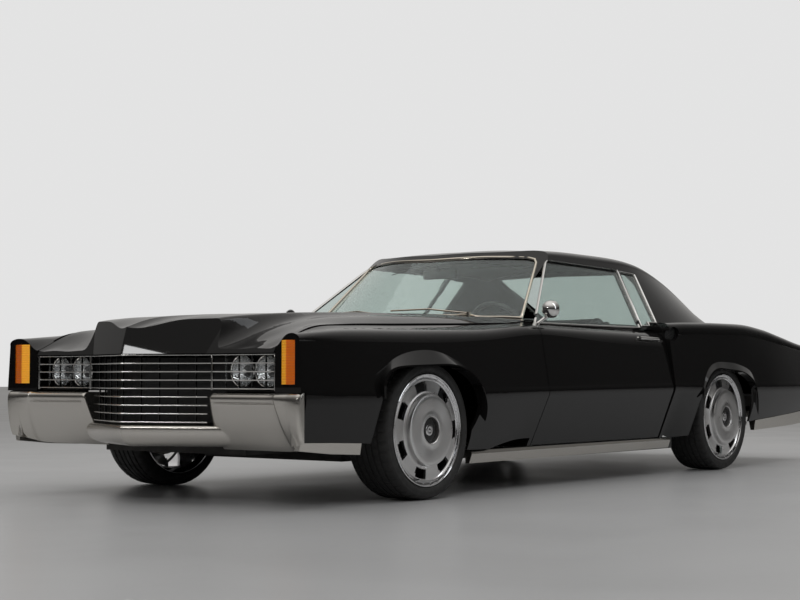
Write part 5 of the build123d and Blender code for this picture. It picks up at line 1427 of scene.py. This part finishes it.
# How far a direction points to the pale wall behind the car, from -1 to 1.
PALE_WALL = (-0.60, 0.80, 0.0)
toward = add(tree, "ShaderNodeVectorMath", operation="DOT_PRODUCT")
toward.inputs[1].default_value = PALE_WALL
tree.links.new(direction.outputs["Generated"], toward.inputs[0])
side_share = add(tree, "ShaderNodeMapRange", interpolation_type="SMOOTHSTEP")
side_share.inputs["From Min"].default_value = 0.55
side_share.inputs["From Max"].default_value = 0.92
tree.links.new(toward.outputs["Value"], side_share.inputs["Value"])
room = add(tree, "ShaderNodeMix", data_type="RGBA")
tree.links.new(side_share.outputs["Result"], room.inputs["Factor"])
tree.links.new(dim_side.outputs["Color"], room.inputs["A"])
tree.links.new(pale_side.outputs["Color"], room.inputs["B"])
even = add(tree, "ShaderNodeMix", data_type="RGBA")
even.inputs["B"].default_value = (0.42, 0.42, 0.42, 1)
tree.links.new(ray.outputs["Is Diffuse Ray"], even.inputs["Factor"])
tree.links.new(room.outputs["Result"], even.inputs["A"])
tree.links.new(even.outputs["Result"], lit.inputs["Color"])


def soft_box(name, place, target, width, height, power, color=(1, 1, 1), mirrored_in_paint=False):
    light = bpy.data.lights.new(name, "AREA")
    light.shape = "RECTANGLE"
    light.size, light.size_y = width, height
    light.energy = power
    light.color = color
    lamp = bpy.data.objects.new(name, light)
    lamp.location = place
    lamp.rotation_mode = "QUATERNION"
    lamp.rotation_quaternion = (Vector(target) - Vector(place)).to_track_quat("-Z", "Y")
    lamp.visible_glossy = mirrored_in_paint
    bpy.context.scene.collection.objects.link(lamp)
    return lamp


soft_box("overhead", (0, 0, 5.5), (0, 0, 0), 9.0, 12.0, 420)
soft_box("side_strip", (4.6, 0.5, 3.6), (0.8, 0, 0.6), 1.2, 6.5, 30, (0.92, 0.96, 1.0), True)
soft_box("front_window", (0.0, -7.35, 3.0), (0.1, -2.6, 0.7), 0.62, 0.45, 11, (1, 1, 1), True)
soft_box("front_fill", (4.5, -7.0, 4.4), (0.5, -1.5, 0.5), 3.0, 1.6, 120)
print("ready: room light")

# %% [markdown]
# ## Smooth panels
# The solids arrive as many small flat facets with their own corner normals. Clearing those
# and shading by angle lets a panel flow, and keeps its real edges crisp.

# %% Smooth panels
CREASE_ANGLE = math.radians(28)
for name, node in NODES.items():
    mesh = node.data
    if mesh.has_custom_normals:
        bpy.context.view_layer.objects.active = node
        with bpy.context.temp_override(object=node, active_object=node):
            bpy.ops.mesh.customdata_custom_splitnormals_clear()
    mesh.shade_smooth()
    mesh.set_sharp_from_angle(angle=CREASE_ANGLE)
print("smoothed", len(NODES), "nodes")
